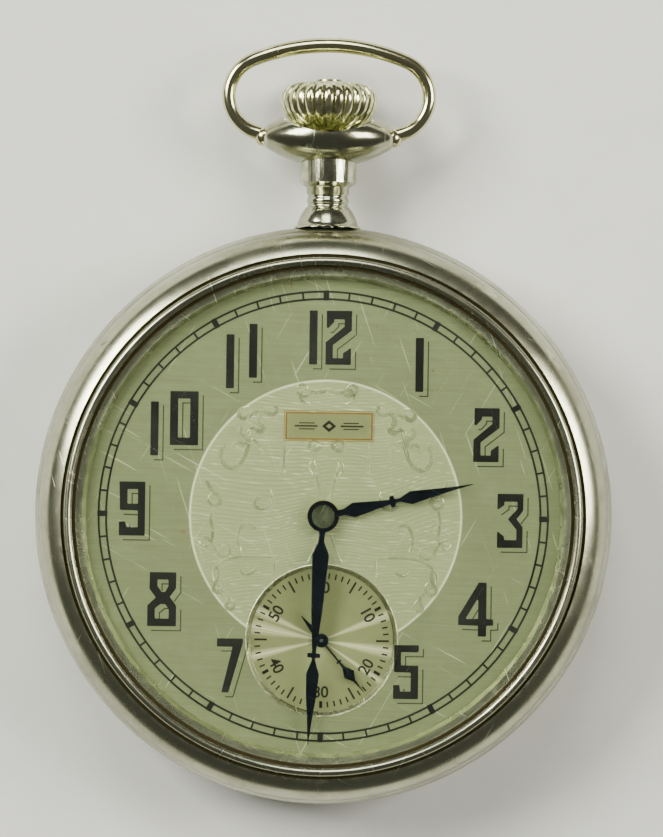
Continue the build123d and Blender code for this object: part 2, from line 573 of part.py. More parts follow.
def lever_screws():
    """The pivot screws of the click and of the two levers, and the core of the crown wheel."""
    click_screw = screw(CLICK_PIVOT, WINDING_Z0 - 0.48, 3.3, head_r=0.9)
    head_z = LEVER_Z1 + 0.02 + SCREW_HEAD_T
    levers = [screw(at, head_z, 7.2, head_r=0.8) for at in (SETTING_LEVER_PIVOT, CLUTCH_LEVER_PIVOT)]
    core = rod(1.2, WINDING_Z0 - 0.02, BRIDGE_Z0, CROWN_WHEEL) + rod(0.6, BRIDGE_Z0, 3.1, CROWN_WHEEL)
    core += rod(2.1, WINDING_Z0 - 0.32, WINDING_Z0 - 0.02, CROWN_WHEEL)
    core -= Pos(*CROWN_WHEEL, WINDING_Z0 - 0.32) * Rot(0, 0, -35) * Box(5, 0.3, 0.25)
    return group([click_screw, core] + levers)


def winding_arbor():
    """The winding arbor: square under the clutch, grooved for the setting lever, socketed for the stem."""
    body = arbor(CENTRE, [(ARBOR_R, ARBOR_Y0, 9.6), (ARBOR_R, 15.2, ARBOR_Y1)])
    body += Pos(0, 0, 12.4) * Box(1.25, 1.25, 5.7)
    groove = (LEVER_GROOVE_Y - 0.4, LEVER_GROOVE_Y + 0.4)
    body -= rod(1.5, *groove) - rod(0.5, *groove)
    return on_stem(body - Pos(0, 0, ARBOR_Y1 - 1.0) * Box(STEM_SQUARE, STEM_SQUARE, 2.3))


def winding_pinion():
    """The winding pinion: a gear for the crown wheel on a hub with ratchet teeth for the clutch."""
    body = slab(gear(PINION_TEETH, WINDING_M, pi / 2, dict(TOOTH, width=1.2, tip=0.5)), PINION_Y0, PINION_Y1)
    body += rod(1.9, CLUTCH_Y1 + 0.35, PINION_Y0 + 0.1)
    for i in range(8):
        body += Rot(0, 0, 45 * i) * block((1.25, 1.85), (-0.2, 0.2), (CLUTCH_Y1 + 0.05, CLUTCH_Y1 + 0.4))
    return on_stem(body - rod(ARBOR_BORE_R, 0, 30))


def clutch():
    """The sliding clutch: ratchet teeth towards the pinion, setting teeth towards the centre, a groove."""
    body = rod(CLUTCH_R, CLUTCH_Y0 + 0.3, CLUTCH_Y1 - 0.35)
    groove = (CLUTCH_GROOVE_Y - 0.4, CLUTCH_GROOVE_Y + 0.4)
    body -= rod(CLUTCH_R + 1, *groove) - rod(1.05, *groove)
    for i in range(8):
        body += Rot(0, 0, 45 * i + 22.5) * block((1.2, 1.8), (-0.2, 0.2), (CLUTCH_Y1 - 0.4, CLUTCH_Y1))
        body += Rot(0, 0, 45 * i) * block((1.2, 1.8), (-0.2, 0.2), (CLUTCH_Y0, CLUTCH_Y0 + 0.4))
    return on_stem(body - Pos(0, 0, 12.8) * Box(1.35, 1.35, 6))


def lever(pivot, pin, pin_z):
    """A flat lever from its pivot to a pin that reaches down into a groove."""
    sketch = hull([(pivot, 0.85), (pin, 0.4)]) - Pos(*pivot) * Circle(SCREW_R + 0.03)
    return slab(sketch, LEVER_Z0, LEVER_Z1) + rod(0.3, pin_z, LEVER_Z0 + 0.1, pin)


def setting_lever():
    """The lever that the arbor carries outward when the crown is pulled."""
    return lever(SETTING_LEVER_PIVOT, (0, LEVER_GROOVE_Y), STEM_Z + 0.6)


def clutch_lever():
    """The lever that pushes the clutch inward when the crown is pulled."""
    return lever(CLUTCH_LEVER_PIVOT, (0, CLUTCH_GROOVE_Y), STEM_Z + 1.15)


def clutch_spring():
    """The spring that holds the clutch lever, a curved blade on a round foot."""
    foot, tip = (-11.0, 14.6), (-6.2, 13.9)
    return slab(hull([(foot, 0.12), (tip, 0.12)]) + Pos(*foot) * Circle(0.8), LEVER_Z0 - 0.05, LEVER_Z1)


# ---- going train --------------------------------------------------------------------------------
CENTRE_PHASE = mesh_phase(BARREL_PHASE, BARREL_TEETH, CENTRE_LEAVES, bearing(BARREL, CENTRE))
THIRD_PHASE = mesh_phase(0.0, CENTRE_TEETH, THIRD_LEAVES, bearing(CENTRE, THIRD))
FOURTH_PHASE = mesh_phase(0.0, THIRD_TEETH, FOURTH_LEAVES, bearing(THIRD, FOURTH))
ESCAPE_PHASE = mesh_phase(0.0, FOURTH_TEETH, ESCAPE_LEAVES, bearing(FOURTH, ESCAPE))
MINUTE_PHASE = mesh_phase(0.0, CANNON_LEAVES, MINUTE_TEETH, bearing(CENTRE, MINUTE))
HOUR_PHASE = mesh_phase(0.0, MINUTE_LEAVES, HOUR_TEETH, bearing(MINUTE, CENTRE))
SETTING_PHASE = mesh_phase(MINUTE_PHASE, MINUTE_TEETH, SETTING_TEETH, bearing(MINUTE, SETTING))


def train_wheel(at, teeth, module, z_low, z_high, bore, phase=0.0):
    """A crossed-out train wheel."""
    root_r = teeth * module / 2 + TOOTH["root"] * module
    sketch = gear(teeth, module, phase) - windows(5, root_r - 0.45, 1.15, 0.45) - Circle(bore)
    return slab(sketch, z_low, z_high, at)


def centre_wheel():
    """The centre wheel, one turn an hour."""
    return train_wheel(CENTRE, CENTRE_TEETH, CENTRE_M, 5.4, 5.6, 0.6)


def centre_pinion():
    """The centre pinion and its arbor, which carries the cannon pinion through the plate."""
    body = arbor(CENTRE, [(0.3, 2.9, 3.7), (0.6, 3.65, 6.3), (0.45, 6.3, 10.6)])
    return body + slab(gear(CENTRE_LEAVES, BARREL_M, CENTRE_PHASE, LEAF), 4.5, 5.2)


def third_wheel():
    """The third wheel."""
    return train_wheel(THIRD, THIRD_TEETH, THIRD_M, 5.75, 5.9, 0.35)


def third_pinion():
    """The third pinion and arbor."""
    body = arbor(THIRD, [(0.12, 2.95, 3.7), (0.3, 3.65, 5.7), (0.35, 5.7, 5.95), (0.3, 5.95, 6.3), (0.12, 6.3, 6.75)])
    return body + slab(gear(THIRD_LEAVES, CENTRE_M, THIRD_PHASE, LEAF), 5.2, 5.7, THIRD)


def fourth_wheel():
    """The fourth wheel, one turn a minute."""
    return train_wheel(FOURTH, FOURTH_TEETH, FOURTH_M, 6.05, 6.2, 0.35)


def fourth_pinion():
    """The fourth pinion, whose long pivot carries the seconds hand."""
    body = arbor(FOURTH, [(0.12, 2.95, 3.7), (0.3, 3.65, 5.7), (0.35, 5.7, 6.3), (0.16, 6.3, 9.86)])
    return body + slab(gear(FOURTH_LEAVES, THIRD_M, FOURTH_PHASE, LEAF), 5.62, 6.02, FOURTH)


def escape_wheel():
    """The club-toothed escape wheel, resting with its teeth clear of both pallet stones."""
    points = []
    for i in range(ESCAPE_TEETH):
        tip = ESCAPEMENT_LINE + 2 * pi * (i + 0.5) / ESCAPE_TEETH
        points += [polar(CENTRE, ESCAPE_ROOT_R, tip - 0.17), polar(CENTRE, ESCAPE_R - 0.12, tip - 0.02)]
        points += [polar(CENTRE, ESCAPE_R, tip - 0.01), polar(CENTRE, ESCAPE_R - 0.04, tip + 0.035)]
        points += [polar(CENTRE, ESCAPE_R - 0.3, tip + 0.015), polar(CENTRE, ESCAPE_ROOT_R, tip - 0.02)]
    sketch = make_face(Polyline(*points, close=True)) - windows(4, 2.4, 0.75, 0.35) - Circle(0.3)
    return slab(sketch, 5.2, 5.4, ESCAPE)


def escape_pinion():
    """The escape pinion and arbor."""
    body = arbor(ESCAPE, [(0.1, 2.95, 3.7), (0.25, 3.65, 5.2), (0.3, 5.2, 5.4), (0.25, 5.4, 6.3), (0.1, 6.3, 6.75)])
    return body + slab(gear(ESCAPE_LEAVES, FOURTH_M, ESCAPE_PHASE, LEAF), 5.95, 6.3, ESCAPE)


def pallet_frame(sketch, z_low, z_high):
    """Lay a shape drawn along +X from the pallet arbor towards the escape wheel in its place."""
    return Pos(PALLET[0], PALLET[1], 0) * Rot(0, 0, degrees(ESCAPEMENT_LINE) + 180) * slab(sketch, z_low, z_high)


def stone_sketch(side, half_width, inner_r, outer_r):
    """A pallet stone's slot, radial to the escape wheel at the pallet span."""
    centre_x = ESCAPE_R / cos(radians(PALLET_SPAN))
    slot = Pos(-(inner_r + outer_r) / 2, 0) * Rectangle(outer_r - inner_r, 2 * half_width)
    return Pos(centre_x, 0) * Rot(0, 0, side * PALLET_SPAN) * slot


def pallet_fork():
    """The lever: two pallet arms, a long fork with a notch for the impulse jewel, and its arbor."""
    reach = FORK_TO_BALANCE - JEWEL_ORBIT
    line_x = ESCAPE_R / cos(radians(PALLET_SPAN))
    seats = [polar((line_x, 0), 4.12, pi + side * radians(PALLET_SPAN)) for side in (-1, 1)]
    arms = hull([(CENTRE, 0.45), (seats[0], 0.4)]) + hull([(CENTRE, 0.45), (seats[1], 0.4)])
    fork = hull([(CENTRE, 0.42), ((-2.9, 0), 0.16)]) + Pos(-reach + 0.25, 0) * Rectangle(0.75, 0.9)
    fork += hull([((-2.7, 0), 0.16), ((-reach + 0.55, 0), 0.3)])
    notch = Pos(-reach - 0.1, 0) * Rectangle(0.6, 0.42)
    sketch = arms + fork - notch
    for side in (-1, 1):
        sketch -= stone_sketch(side, 0.18, 3.0, STONE_END_R)
    body = pallet_frame(sketch, 5.2, 5.4)
    return body + arbor(PALLET, [(0.09, 4.78, 5.15), (0.22, 5.12, 6.3), (0.09, 6.3, 6.75)])


def pallet_stones():
    """The two ruby pallet stones."""
    return group(
        pallet_frame(stone_sketch(side, 0.18, ESCAPE_R + 0.05, STONE_END_R), 5.12, 5.48) for side in (-1, 1)
    )


def balance_wheel():
    """The compensated balance: two arms and a rim cut through beside each arm."""
    rim = Circle(7.3) - Circle(6.55)
    for side in (-1, 1):
        rim -= Rot(0, 0, 12 + 90 * (1 - side)) * Pos(6.9, 0) * Rectangle(1.4, 0.3)
    arm = Rectangle(13.4, 0.9) + Circle(1.2) - Circle(0.5)
    return slab(rim, 3.75, 4.45, BALANCE) + slab(arm, 3.8, 4.1, BALANCE)


def balance_screws():
    """The timing screws around the balance rim."""
    solids = []
    for angle in (20, 34, 48, 62, 90, 118, 146, 200, 214, 228, 242, 270, 298, 326):
        shape = Pos(7.3 + 0.3, 0, 4.1) * Rot(0, 90, 0) * Cylinder(0.3, 0.6)
        solids.append(Pos(BALANCE[0], BALANCE[1], 0) * Rot(0, 0, angle) * shape)
    return group(solids)


def balance_staff():
    """The balance staff with the hairspring collet, the roller and the impulse jewel."""
    steps = [(0.08, 2.78, 3.15), (0.35, 3.12, 3.4), (0.7, 3.3, 3.62), (0.5, 3.6, 4.75)]
    steps += [(1.1, 4.75, 5.0), (0.3, 5.0, 6.3), (0.08, 6.3, 6.75)]
    jewel = polar(BALANCE, JEWEL_ORBIT, ESCAPEMENT_LINE + pi)
    return arbor(BALANCE, steps) + rod(0.17, 4.9, 5.45, jewel)


HAIRSPRING_R, HAIRSPRING_PITCH, HAIRSPRING_HALF_TURNS, HAIRSPRING_T = 0.8, 0.28, 22, 0.06


def hairspring_place():
    """The place that turns the outer end of the hairspring under the cock's arm."""
    return Pos(BALANCE[0], BALANCE[1], 0) * Rot(0, 0, degrees(bearing(BALANCE, COCK_FOOT)))


def hairspring():
    """The flat hairspring between the collet and the stud."""
    strip, _ = spiral(HAIRSPRING_R, HAIRSPRING_PITCH, HAIRSPRING_HALF_TURNS, HAIRSPRING_T)
    return hairspring_place() * slab(strip, 3.35, 3.55)


def hairspring_stud():
    """The stud that pins the hairspring's outer end to the cock."""
    _, end = spiral(HAIRSPRING_R, HAIRSPRING_PITCH, HAIRSPRING_HALF_TURNS, HAIRSPRING_T)
    return hairspring_place() * (Pos(end.X + 0.25, 0, 3.35) * Box(0.5, 0.5, 0.5))


def regulator():
    """The regulator: a ring on the cock's boss, a long pointer and two curb pins."""
    coil_r = HAIRSPRING_R + HAIRSPRING_PITCH / 2 * (HAIRSPRING_HALF_TURNS - 1)
    ring = Circle(1.6) + hull([(CENTRE, 0.5), ((6.4, 0), 0.16)])
    ring += hull([(CENTRE, 0.6), ((-coil_r - 0.3, 0), 0.35)])
    place = hairspring_place()
    body = place * slab(ring - Circle(0.98), COCK_Z0 - 0.27, COCK_Z0 - 0.02)
    for offset in (-0.14, HAIRSPRING_T + 0.14):
        body += place * Pos(-coil_r - offset, 0, 2.65) * Cylinder(0.07, 1.9)
    return body


# ---- motion work, dial and hands ----------------------------------------------------------------
def cannon_pinion():
    """The cannon pinion, gripping the centre arbor and carrying the minute hand."""
    body = slab(gear(CANNON_LEAVES, MINUTE_M, 0.0, LEAF), LEVER_Z0, 8.82) + rod(1.0, 8.8, 10.95)
    return body - rod(0.45, 8.0, 10.6)


def hour_wheel():
    """The hour wheel and its pipe around the cannon pinion."""
    body = slab(gear(HOUR_TEETH, HOUR_M, HOUR_PHASE), 8.9, 9.1) + rod(1.2, 8.9, HOUR_Z0 + HAND_T)
    return body - rod(1.03, 8.0, 11.0)


def minute_wheel():
    """The minute wheel and pinion on its post."""
    body = slab(gear(MINUTE_TEETH, MINUTE_M, MINUTE_PHASE), 8.52, 8.72, MINUTE)
    body += slab(gear(MINUTE_LEAVES, HOUR_M, 0.0, LEAF), 8.7, 9.14, MINUTE)
    return body - rod(0.43, 8.0, 10.0, MINUTE)


def setting_wheel():
    """The setting wheel: one ring of teeth for the clutch and one for the minute wheel."""
    toothed = gear(SETTING_TEETH, MINUTE_M, SETTING_PHASE)
    body = slab(toothed, 6.85, 7.25, SETTING) + slab(toothed, 8.5, 8.74, SETTING) + rod(1.1, 7.0, 8.6, SETTING)
    return body - rod(0.48, 6.0, 10.0, SETTING)


def dial():
    """The metal dial with its three feet, the centre hole and the bevelled seconds opening."""
    body = rod(DIAL_R, DIAL_Z0, DIAL_Z1) - rod(1.4, 9, 10)
    bevel = turned([(0, DIAL_Z0), (SECONDS_DIAL_R, DIAL_Z0), (SECONDS_RIM_R, DIAL_Z1), (0, DIAL_Z1)])
    body -= Pos(*FOURTH, 0) * bevel
    for at in DIAL_FEET:
        body += rod(0.4, 7.4, DIAL_Z0 + 0.1, at)
    return body


def seconds_dial():
    """The sunk seconds dial, soldered under the main dial."""
    return rod(SECONDS_RIM_R + 0.3, SECONDS_DIAL_Z0, DIAL_Z0, FOURTH) - rod(0.35, 8, 10, FOURTH)


def hand(profile, hub_r, bore_r, z_low, at, angle):
    """A hand from (distance, half width) points, with its hub, turned clockwise from 12."""
    side = [(width, distance) for distance, width in profile]
    points = side + [(-width, distance) for width, distance in reversed(side)]
    sketch = make_face(Polyline(*points, close=True)) + Circle(hub_r) - Circle(bore_r)
    return Pos(at[0], at[1], z_low) * Rot(0, 0, -angle) * extrude(sketch, HAND_T)


def hour_hand():
    """The hour hand."""
    profile = [(0, 0.3), (1.85, 0.26), (2.72, 0.65), (5.9, 0.21), (5.97, 0.5), (6.33, 0.5), (6.4, 0.165),
               (6.85, 0.165), (7.8, 0.575), (11.4, 0.17), (13.3, 0.03)]
    return hand(profile, 1.35, 1.2, HOUR_Z0, CENTRE, HOUR_ANGLE)


def minute_hand():
    """The minute hand."""
    profile = [(0, 0.3), (2.19, 0.25), (3.31, 0.75), (8.42, 0.47), (9.97, 0.33), (11.52, 0.18),
               (11.85, 0.18), (11.9, 0.56), (12.25, 0.56), (12.3, 0.15), (12.5, 0.15), (13.7, 0.565),
               (15.63, 0.45), (17.3, 0.25), (19.85, 0.03)]
    return hand(profile, 1.35, 1.0, MINUTE_Z0, CENTRE, MINUTE_ANGLE)


def seconds_hand():
    """The seconds hand, with its counterpoise."""
    profile = [(-2.77, 0.03), (-1.2, 0.25), (-0.6, 0.09), (2.28, 0.09), (2.3, 0.25), (2.46, 0.25),
               (2.48, 0.09), (3.0, 0.12), (3.8, 0.53), (4.5, 0.12), (5.77, 0.03)]
    return hand(profile, 0.61, 0.16, SECONDS_Z0, FOURTH, SECONDS_ANGLE)


NODES = [
    back_cover, case_center, bezel, crystal, bow_head, pendant_neck, bow, pendant_sleeve, crown, stem,
    case_screws, pillar_plate, barrel_bridge, train_bridge, balance_cock, pallet_bridge, bridge_screws,
    train_jewels, barrel_drum, barrel_cover, barrel_arbor, mainspring, ratchet_wheel, ratchet_screw,
    crown_wheel, click, click_spring, lever_screws, winding_arbor, winding_pinion, clutch, setting_lever,
    clutch_lever, clutch_spring, centre_wheel, centre_pinion, third_wheel, third_pinion, fourth_wheel,
    fourth_pinion, escape_wheel, escape_pinion, pallet_fork, pallet_stones, balance_wheel, balance_screws,
    balance_staff, hairspring, hairspring_stud, regulator, cannon_pinion, hour_wheel, minute_wheel,
    setting_wheel, dial, seconds_dial, hour_hand, minute_hand, seconds_hand,
]

if __name__ == "__main__":
    os.makedirs("parts", exist_ok=True)
    for make in NODES:
        export_step(make(), f"parts/{make.__name__}.step")
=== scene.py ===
"""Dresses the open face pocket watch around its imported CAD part: case, pendant, dial, hands and movement."""

import json
import logging
from dataclasses import dataclass
from enum import Enum
from math import atan2, cos, hypot, pi, radians, sin, tan

import bmesh
import bpy
from mathutils import Matrix, Vector

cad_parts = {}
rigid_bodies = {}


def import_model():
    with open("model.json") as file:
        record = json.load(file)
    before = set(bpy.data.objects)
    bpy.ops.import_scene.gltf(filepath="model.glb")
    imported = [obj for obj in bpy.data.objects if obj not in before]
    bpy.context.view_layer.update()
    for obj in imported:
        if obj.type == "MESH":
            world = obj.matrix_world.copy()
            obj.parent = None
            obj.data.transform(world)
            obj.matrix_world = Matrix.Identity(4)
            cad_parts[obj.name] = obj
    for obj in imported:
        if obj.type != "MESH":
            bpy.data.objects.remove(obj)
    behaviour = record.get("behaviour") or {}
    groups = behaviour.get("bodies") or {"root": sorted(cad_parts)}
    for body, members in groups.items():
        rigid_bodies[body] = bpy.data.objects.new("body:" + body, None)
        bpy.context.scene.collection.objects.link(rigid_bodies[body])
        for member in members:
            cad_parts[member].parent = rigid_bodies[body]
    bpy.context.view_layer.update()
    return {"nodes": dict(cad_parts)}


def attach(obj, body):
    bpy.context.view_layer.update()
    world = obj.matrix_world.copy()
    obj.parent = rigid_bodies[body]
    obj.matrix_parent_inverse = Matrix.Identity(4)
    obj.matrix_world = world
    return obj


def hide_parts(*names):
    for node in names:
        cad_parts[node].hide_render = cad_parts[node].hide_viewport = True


Point = tuple[float, float]
Colour = tuple[float, float, float]
MM = 0.001
FULL_TURN = 2 * pi
STEM_Z = 5.2
SECONDS_AT = (0.0, -10.8)
DIAL_TOP = 9.6
SECONDS_TOP = 9.2
INK_T = 0.014
TINY = 1e-6
SMOOTH_ANGLE = radians(32)
BROWN_SPECK = (96, 66, 34)
CUT_SPACING = 0.00033
RUBBED_BRIGHTER = 1.18
SRGB_GAMMA = 2.2
log = logging.getLogger("pocket_watch")
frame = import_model()


class Way(Enum):
    """Which way a number on the seconds dial stands."""

    OUT = 0.0
    IN = pi


class Lie(Enum):
    """The axis a turned piece is worked about."""

    DIAL = "z"
    STEM = "y"
    BOW = "x"


# ---- shader building ---------------------------------------------------------------------------
class Graph:
    """A thin hand over a node tree, so that a network reads as sums."""

    def __init__(self, tree: bpy.types.NodeTree) -> None:
        """Keeps the tree that nodes are added to.

        Args:
            tree: a material's or a group's node tree.
        """
        self.tree = tree

    def add(self, kind: str, wires: dict | None = None, **settings: object) -> bpy.types.Node:
        """Adds a node, sets its properties and fills its inputs.

        Args:
            kind: the node's type name without the ShaderNode prefix, or the whole name.
            wires: input name or number to a value or a socket.
            settings: the node's own properties.

        Returns:
            The new node.
        """
        node = self.tree.nodes.new(kind if kind.startswith("Node") else "ShaderNode" + kind)
        for key, value in settings.items():
            setattr(node, key, value)
        for key, value in (wires or {}).items():
            self.feed(node.inputs[key], value)
        return node

    def feed(self, socket: bpy.types.NodeSocket, value: object) -> None:
        """Links a socket to another, or sets its value."""
        if isinstance(value, bpy.types.NodeSocket):
            self.tree.links.new(value, socket)
        else:
            socket.default_value = value

    def maths(self, operation: str, *terms: object) -> bpy.types.NodeSocket:
        """The result of a maths node."""
        return self.add("Math", dict(enumerate(terms)), operation=operation).outputs[0]

    def spread(self, value: object, low: float, high: float, to: Point = (0.0, 1.0)) -> bpy.types.NodeSocket:
        """A value mapped from one range to another and clamped."""
        wires = {"Value": value, "From Min": low, "From Max": high, "To Min": to[0], "To Max": to[1]}
        return self.add("MapRange", wires, clamp=True).outputs[0]

    def blend(self, share: object, first: object, second: object) -> bpy.types.NodeSocket:
        """Two colours mixed by a share."""
        node = self.add("Mix", {0: share, 6: first, 7: second}, data_type="RGBA")
        return node.outputs[2]

    def noise(self, place: object, scale: float, detail: float = 3.0,
              rough: float = 0.55) -> bpy.types.NodeSocket:
        """Noise over a place, in turns to a metre."""
        wires = {"Vector": place, "Scale": scale, "Detail": detail, "Roughness": rough}
        return self.add("TexNoise", wires).outputs[0]

    def stretched(self, place: object, turn: float, by: tuple[float, float, float]) -> bpy.types.NodeSocket:
        """A place turned about Z and scaled, for marks that run one way."""
        turned = self.add("Mapping", {"Vector": place, "Rotation": (0, 0, turn)}).outputs[0]
        return self.add("Mapping", {"Vector": turned, "Scale": by}).outputs[0]

    def centred(self, x: float = 0.0, y: float = 0.0, z: float = 0.0) -> bpy.types.NodeSocket:
        """Object coordinates measured from a point given in millimetres."""
        coordinates = self.add("TexCoord").outputs["Object"]
        moved = (-x * MM, -y * MM, -z * MM)
        return self.add("Mapping", {"Vector": coordinates, "Location": moved}).outputs[0]

    def radius(self, split: bpy.types.Node) -> bpy.types.NodeSocket:
        """The distance from the Z axis of a separated place."""
        squares = [self.maths("POWER", split.outputs[i], 2.0) for i in (0, 1)]
        return self.maths("SQRT", self.maths("ADD", *squares))

    def between(self, mask: object, ends: Point) -> bpy.types.NodeSocket:
        """A value that runs from one end to the other as a mask goes from 0 to 1."""
        return self.spread(mask, 0.0, 1.0, ends)

    def bump(self, shader: bpy.types.Node, height: object, strength: float, distance: float) -> None:
        """Feeds a height to a shader's normal."""
        wires = {"Height": height, "Strength": strength, "Distance": distance}
        self.feed(shader.inputs["Normal"], self.add("Bump", wires).outputs[0])


def rgba(colour: Colour) -> tuple[float, float, float, float]:
    """A linear colour with full alpha from an sRGB colour in 0-255."""
    return tuple((c / 255) ** SRGB_GAMMA for c in colour) + (1.0,)


def group(name: str, inputs: dict[str, str], outputs: dict[str, str]) -> tuple:
    """An empty shader group with named sockets.

    Args:
        name: the group's name.
        inputs: socket name to type, such as "Float", "Vector" or "Color".
        outputs: the same for what it puts out.

    Returns:
        The tree, its Graph, its input node and its output node.
    """
    tree = bpy.data.node_groups.new(name, "ShaderNodeTree")
    for side, sockets in (("INPUT", inputs), ("OUTPUT", outputs)):
        for socket, kind in sockets.items():
            tree.interface.new_socket(name=socket, in_out=side, socket_type="NodeSocket" + kind)
    graph = Graph(tree)
    return tree, graph, graph.add("NodeGroupInput"), graph.add("NodeGroupOutput")


def tarnish_group() -> bpy.types.NodeTree:
    """Cloudy dulling with small brown specks, for any handled metal.

    Returns:
        A group that puts out a colour and a mask of the dulled places.
    """
    inputs = {"Place": "Vector", "Clean": "Color", "Dull": "Color", "Amount": "Float",
              "Specks": "Float"}
    tree, g, start, end = group("handled_tarnish", inputs, {"Color": "Color", "Mask": "Float"})
    place = start.outputs["Place"]
    clouds = g.spread(g.noise(place, 160, 6, 0.62), 0.38, 0.68)
    fine = g.spread(g.noise(place, 1100, 4, 0.7), 0.45, 0.75)
    cloudy = g.maths("ADD", clouds, g.maths("MULTIPLY", fine, 0.35))
    mask = g.maths("MULTIPLY", cloudy, start.outputs["Amount"])
    body = g.blend(mask, start.outputs["Clean"], start.outputs["Dull"])
    spots = g.spread(g.noise(place, 520, 2, 0.5), 0.735, 0.77)
    worn = g.maths("MULTIPLY", spots, start.outputs["Specks"])
    g.feed(end.inputs["Color"], g.blend(worn, body, rgba(BROWN_SPECK)))
    g.feed(end.inputs["Mask"], g.maths("MAXIMUM", mask, worn))
    return tree


def scratch_group() -> bpy.types.NodeTree:
    """Fine straight scratches in two directions.

    Returns:
        A group that puts out a height, below nought in a scratch, and a mask.
    """
    tree, g, start, end = group("fine_scratches", {"Place": "Vector", "Scale": "Float", "Depth": "Float"},
                                {"Height": "Float", "Mask": "Float"})
    marks = []
    for turn, wander in ((0.5, 0.0), (2.1, 4.7), (1.25, 9.1)):
        long = g.stretched(start.outputs["Place"], turn, (45, 1700, 45))
        moved = g.add("VectorMath", {0: long, 1: (wander, wander, 0)}, operation="ADD").outputs[0]
        scaled = g.add("VectorMath", {0: moved, "Scale": start.outputs["Scale"]}, operation="SCALE")
        marks.append(g.spread(g.noise(scaled.outputs[0], 4, 1, 0.4), 0.745, 0.775))
    mask = g.maths("MAXIMUM", marks[0], g.maths("MAXIMUM", marks[1], marks[2]))
    depth = g.maths("MULTIPLY", mask, start.outputs["Depth"])
    g.feed(end.inputs["Height"], g.maths("MULTIPLY", depth, -1.0))
    g.feed(end.inputs["Mask"], mask)
    return tree


def lathe_group() -> bpy.types.NodeTree:
    """Concentric tool marks round an axis along Z.

    Returns:
        A group that puts out a height.
    """
    tree, g, start, end = group("turning_marks", {"Place": "Vector", "Pitch": "Float"}, {"Height": "Float"})
    split = g.add("SeparateXYZ", {0: start.outputs["Place"]})
    across = g.radius(split)
    rings = g.maths("MULTIPLY", g.maths("ADD", across, g.maths("MULTIPLY", split.outputs[2], 0.7)),
                    start.outputs["Pitch"])
    wave = g.add("TexNoise", {"W": rings, "Scale": 1.0, "Detail": 2.0}, noise_dimensions="1D").outputs[0]
    g.feed(end.inputs["Height"], wave)
    return tree


def edge_group() -> bpy.types.NodeTree:
    """Bright rubbed edges, broken up by noise.

    Returns:
        A group that puts out a mask.
    """
    tree, g, start, end = group("rubbed_edges", {"Place": "Vector", "Amount": "Float"}, {"Mask": "Float"})
    sharp = g.spread(g.add("NewGeometry").outputs["Pointiness"], 0.515, 0.56)
    broken = g.spread(g.noise(start.outputs["Place"], 900, 3), 0.35, 0.6)
    worn = g.maths("MULTIPLY", sharp, broken)
    g.feed(end.inputs["Mask"], g.maths("MULTIPLY", worn, start.outputs["Amount"]))
    return tree


def sunburst_group() -> bpy.types.NodeTree:
    """Brushing that runs out from a centre on the dial.

    Returns:
        A group that puts out a height and a mask of broad painted highlight rays at fixed angles.
    """
    outputs = {"Height": "Float", "Glint": "Float"}
    tree, g, start, end = group("sunburst_brushing", {"Place": "Vector"}, outputs)
    split = g.add("SeparateXYZ", {0: start.outputs["Place"]})
    angle = g.maths("ARCTAN2", split.outputs[1], split.outputs[0])
    fine = g.add("TexNoise", {"W": g.maths("MULTIPLY", angle, 90.0), "Scale": 1.0}, noise_dimensions="1D")
    g.feed(end.inputs["Height"], fine.outputs[0])
    # painted highlight: broad bright rays at fixed angles round the centre, where the brushing catches the lamps
    rays = [g.spread(g.maths("ABSOLUTE", g.maths("SUBTRACT", angle, at)), 0.0, wide, (1.0, 0.0))
            for at, wide in ((0.38, 0.1), (-0.16, 0.12), (2.72, 0.09), (2.95, 0.14), (-2.9, 0.09),
                             (-0.6, 0.06))]
    glint = rays[0]
    for ray in rays[1:]:
        glint = g.maths("MAXIMUM", glint, ray)
    g.feed(end.inputs["Glint"], glint)
    return tree


def engine_turned_group() -> bpy.types.NodeTree:
    """Fine wavering lines cut across the middle of the dial.

    Returns:
        A group that puts out a height and a mask of painted glints along the cuts.
    """
    outputs = {"Height": "Float", "Bright": "Float"}
    tree, g, start, end = group("engine_turned_lines", {"Place": "Vector"}, outputs)
    bent = g.noise(start.outputs["Place"], 70, 1)
    split = g.add("SeparateXYZ", {0: start.outputs["Place"]})
    lean = g.maths("ADD", split.outputs[1], g.maths("MULTIPLY", bent, 0.007))
    row = g.maths("ADD", lean, g.maths("MULTIPLY", split.outputs[0], -0.12))
    lines = g.maths("SINE", g.maths("MULTIPLY", row, FULL_TURN / CUT_SPACING))
    flecks = g.stretched(start.outputs["Place"], 0.12, (160, 3000, 160))
    # painted glint: bright flecks along the cuts, which take the dial's glint colour
    bright = g.spread(g.noise(flecks, 2.2, 2, 0.6), 0.58, 0.75)
    g.feed(end.inputs["Height"], g.maths("ADD", lines, g.maths("MULTIPLY", bright, 1.5)))
    g.feed(end.inputs["Bright"], g.maths("MULTIPLY", bright, g.spread(lines, -0.6, 0.9)))
    return tree


TARNISH, SCRATCHES, LATHE = tarnish_group(), scratch_group(), lathe_group()
EDGES, SUNBURST, ENGINE_TURNED = edge_group(), sunburst_group(), engine_turned_group()


def use(graph: Graph, tree: bpy.types.NodeTree, **wires: object) -> bpy.types.Node:
    """Places a shared group in a material with its own values."""
    node = graph.add("Group", node_tree=tree)
    for key, value in wires.items():
        graph.feed(node.inputs[key.capitalize()], value)
    return node


def begin_material(name: str) -> tuple[bpy.types.Material, Graph, bpy.types.Node]:
    """A new material to be filled in.

    Args:
        name: the material's name.

    Returns:
        The material, its Graph and its Principled BSDF.
    """
    material = bpy.data.materials.new(name)
    material.use_nodes = True
    return material, Graph(material.node_tree), material.node_tree.nodes["Principled BSDF"]


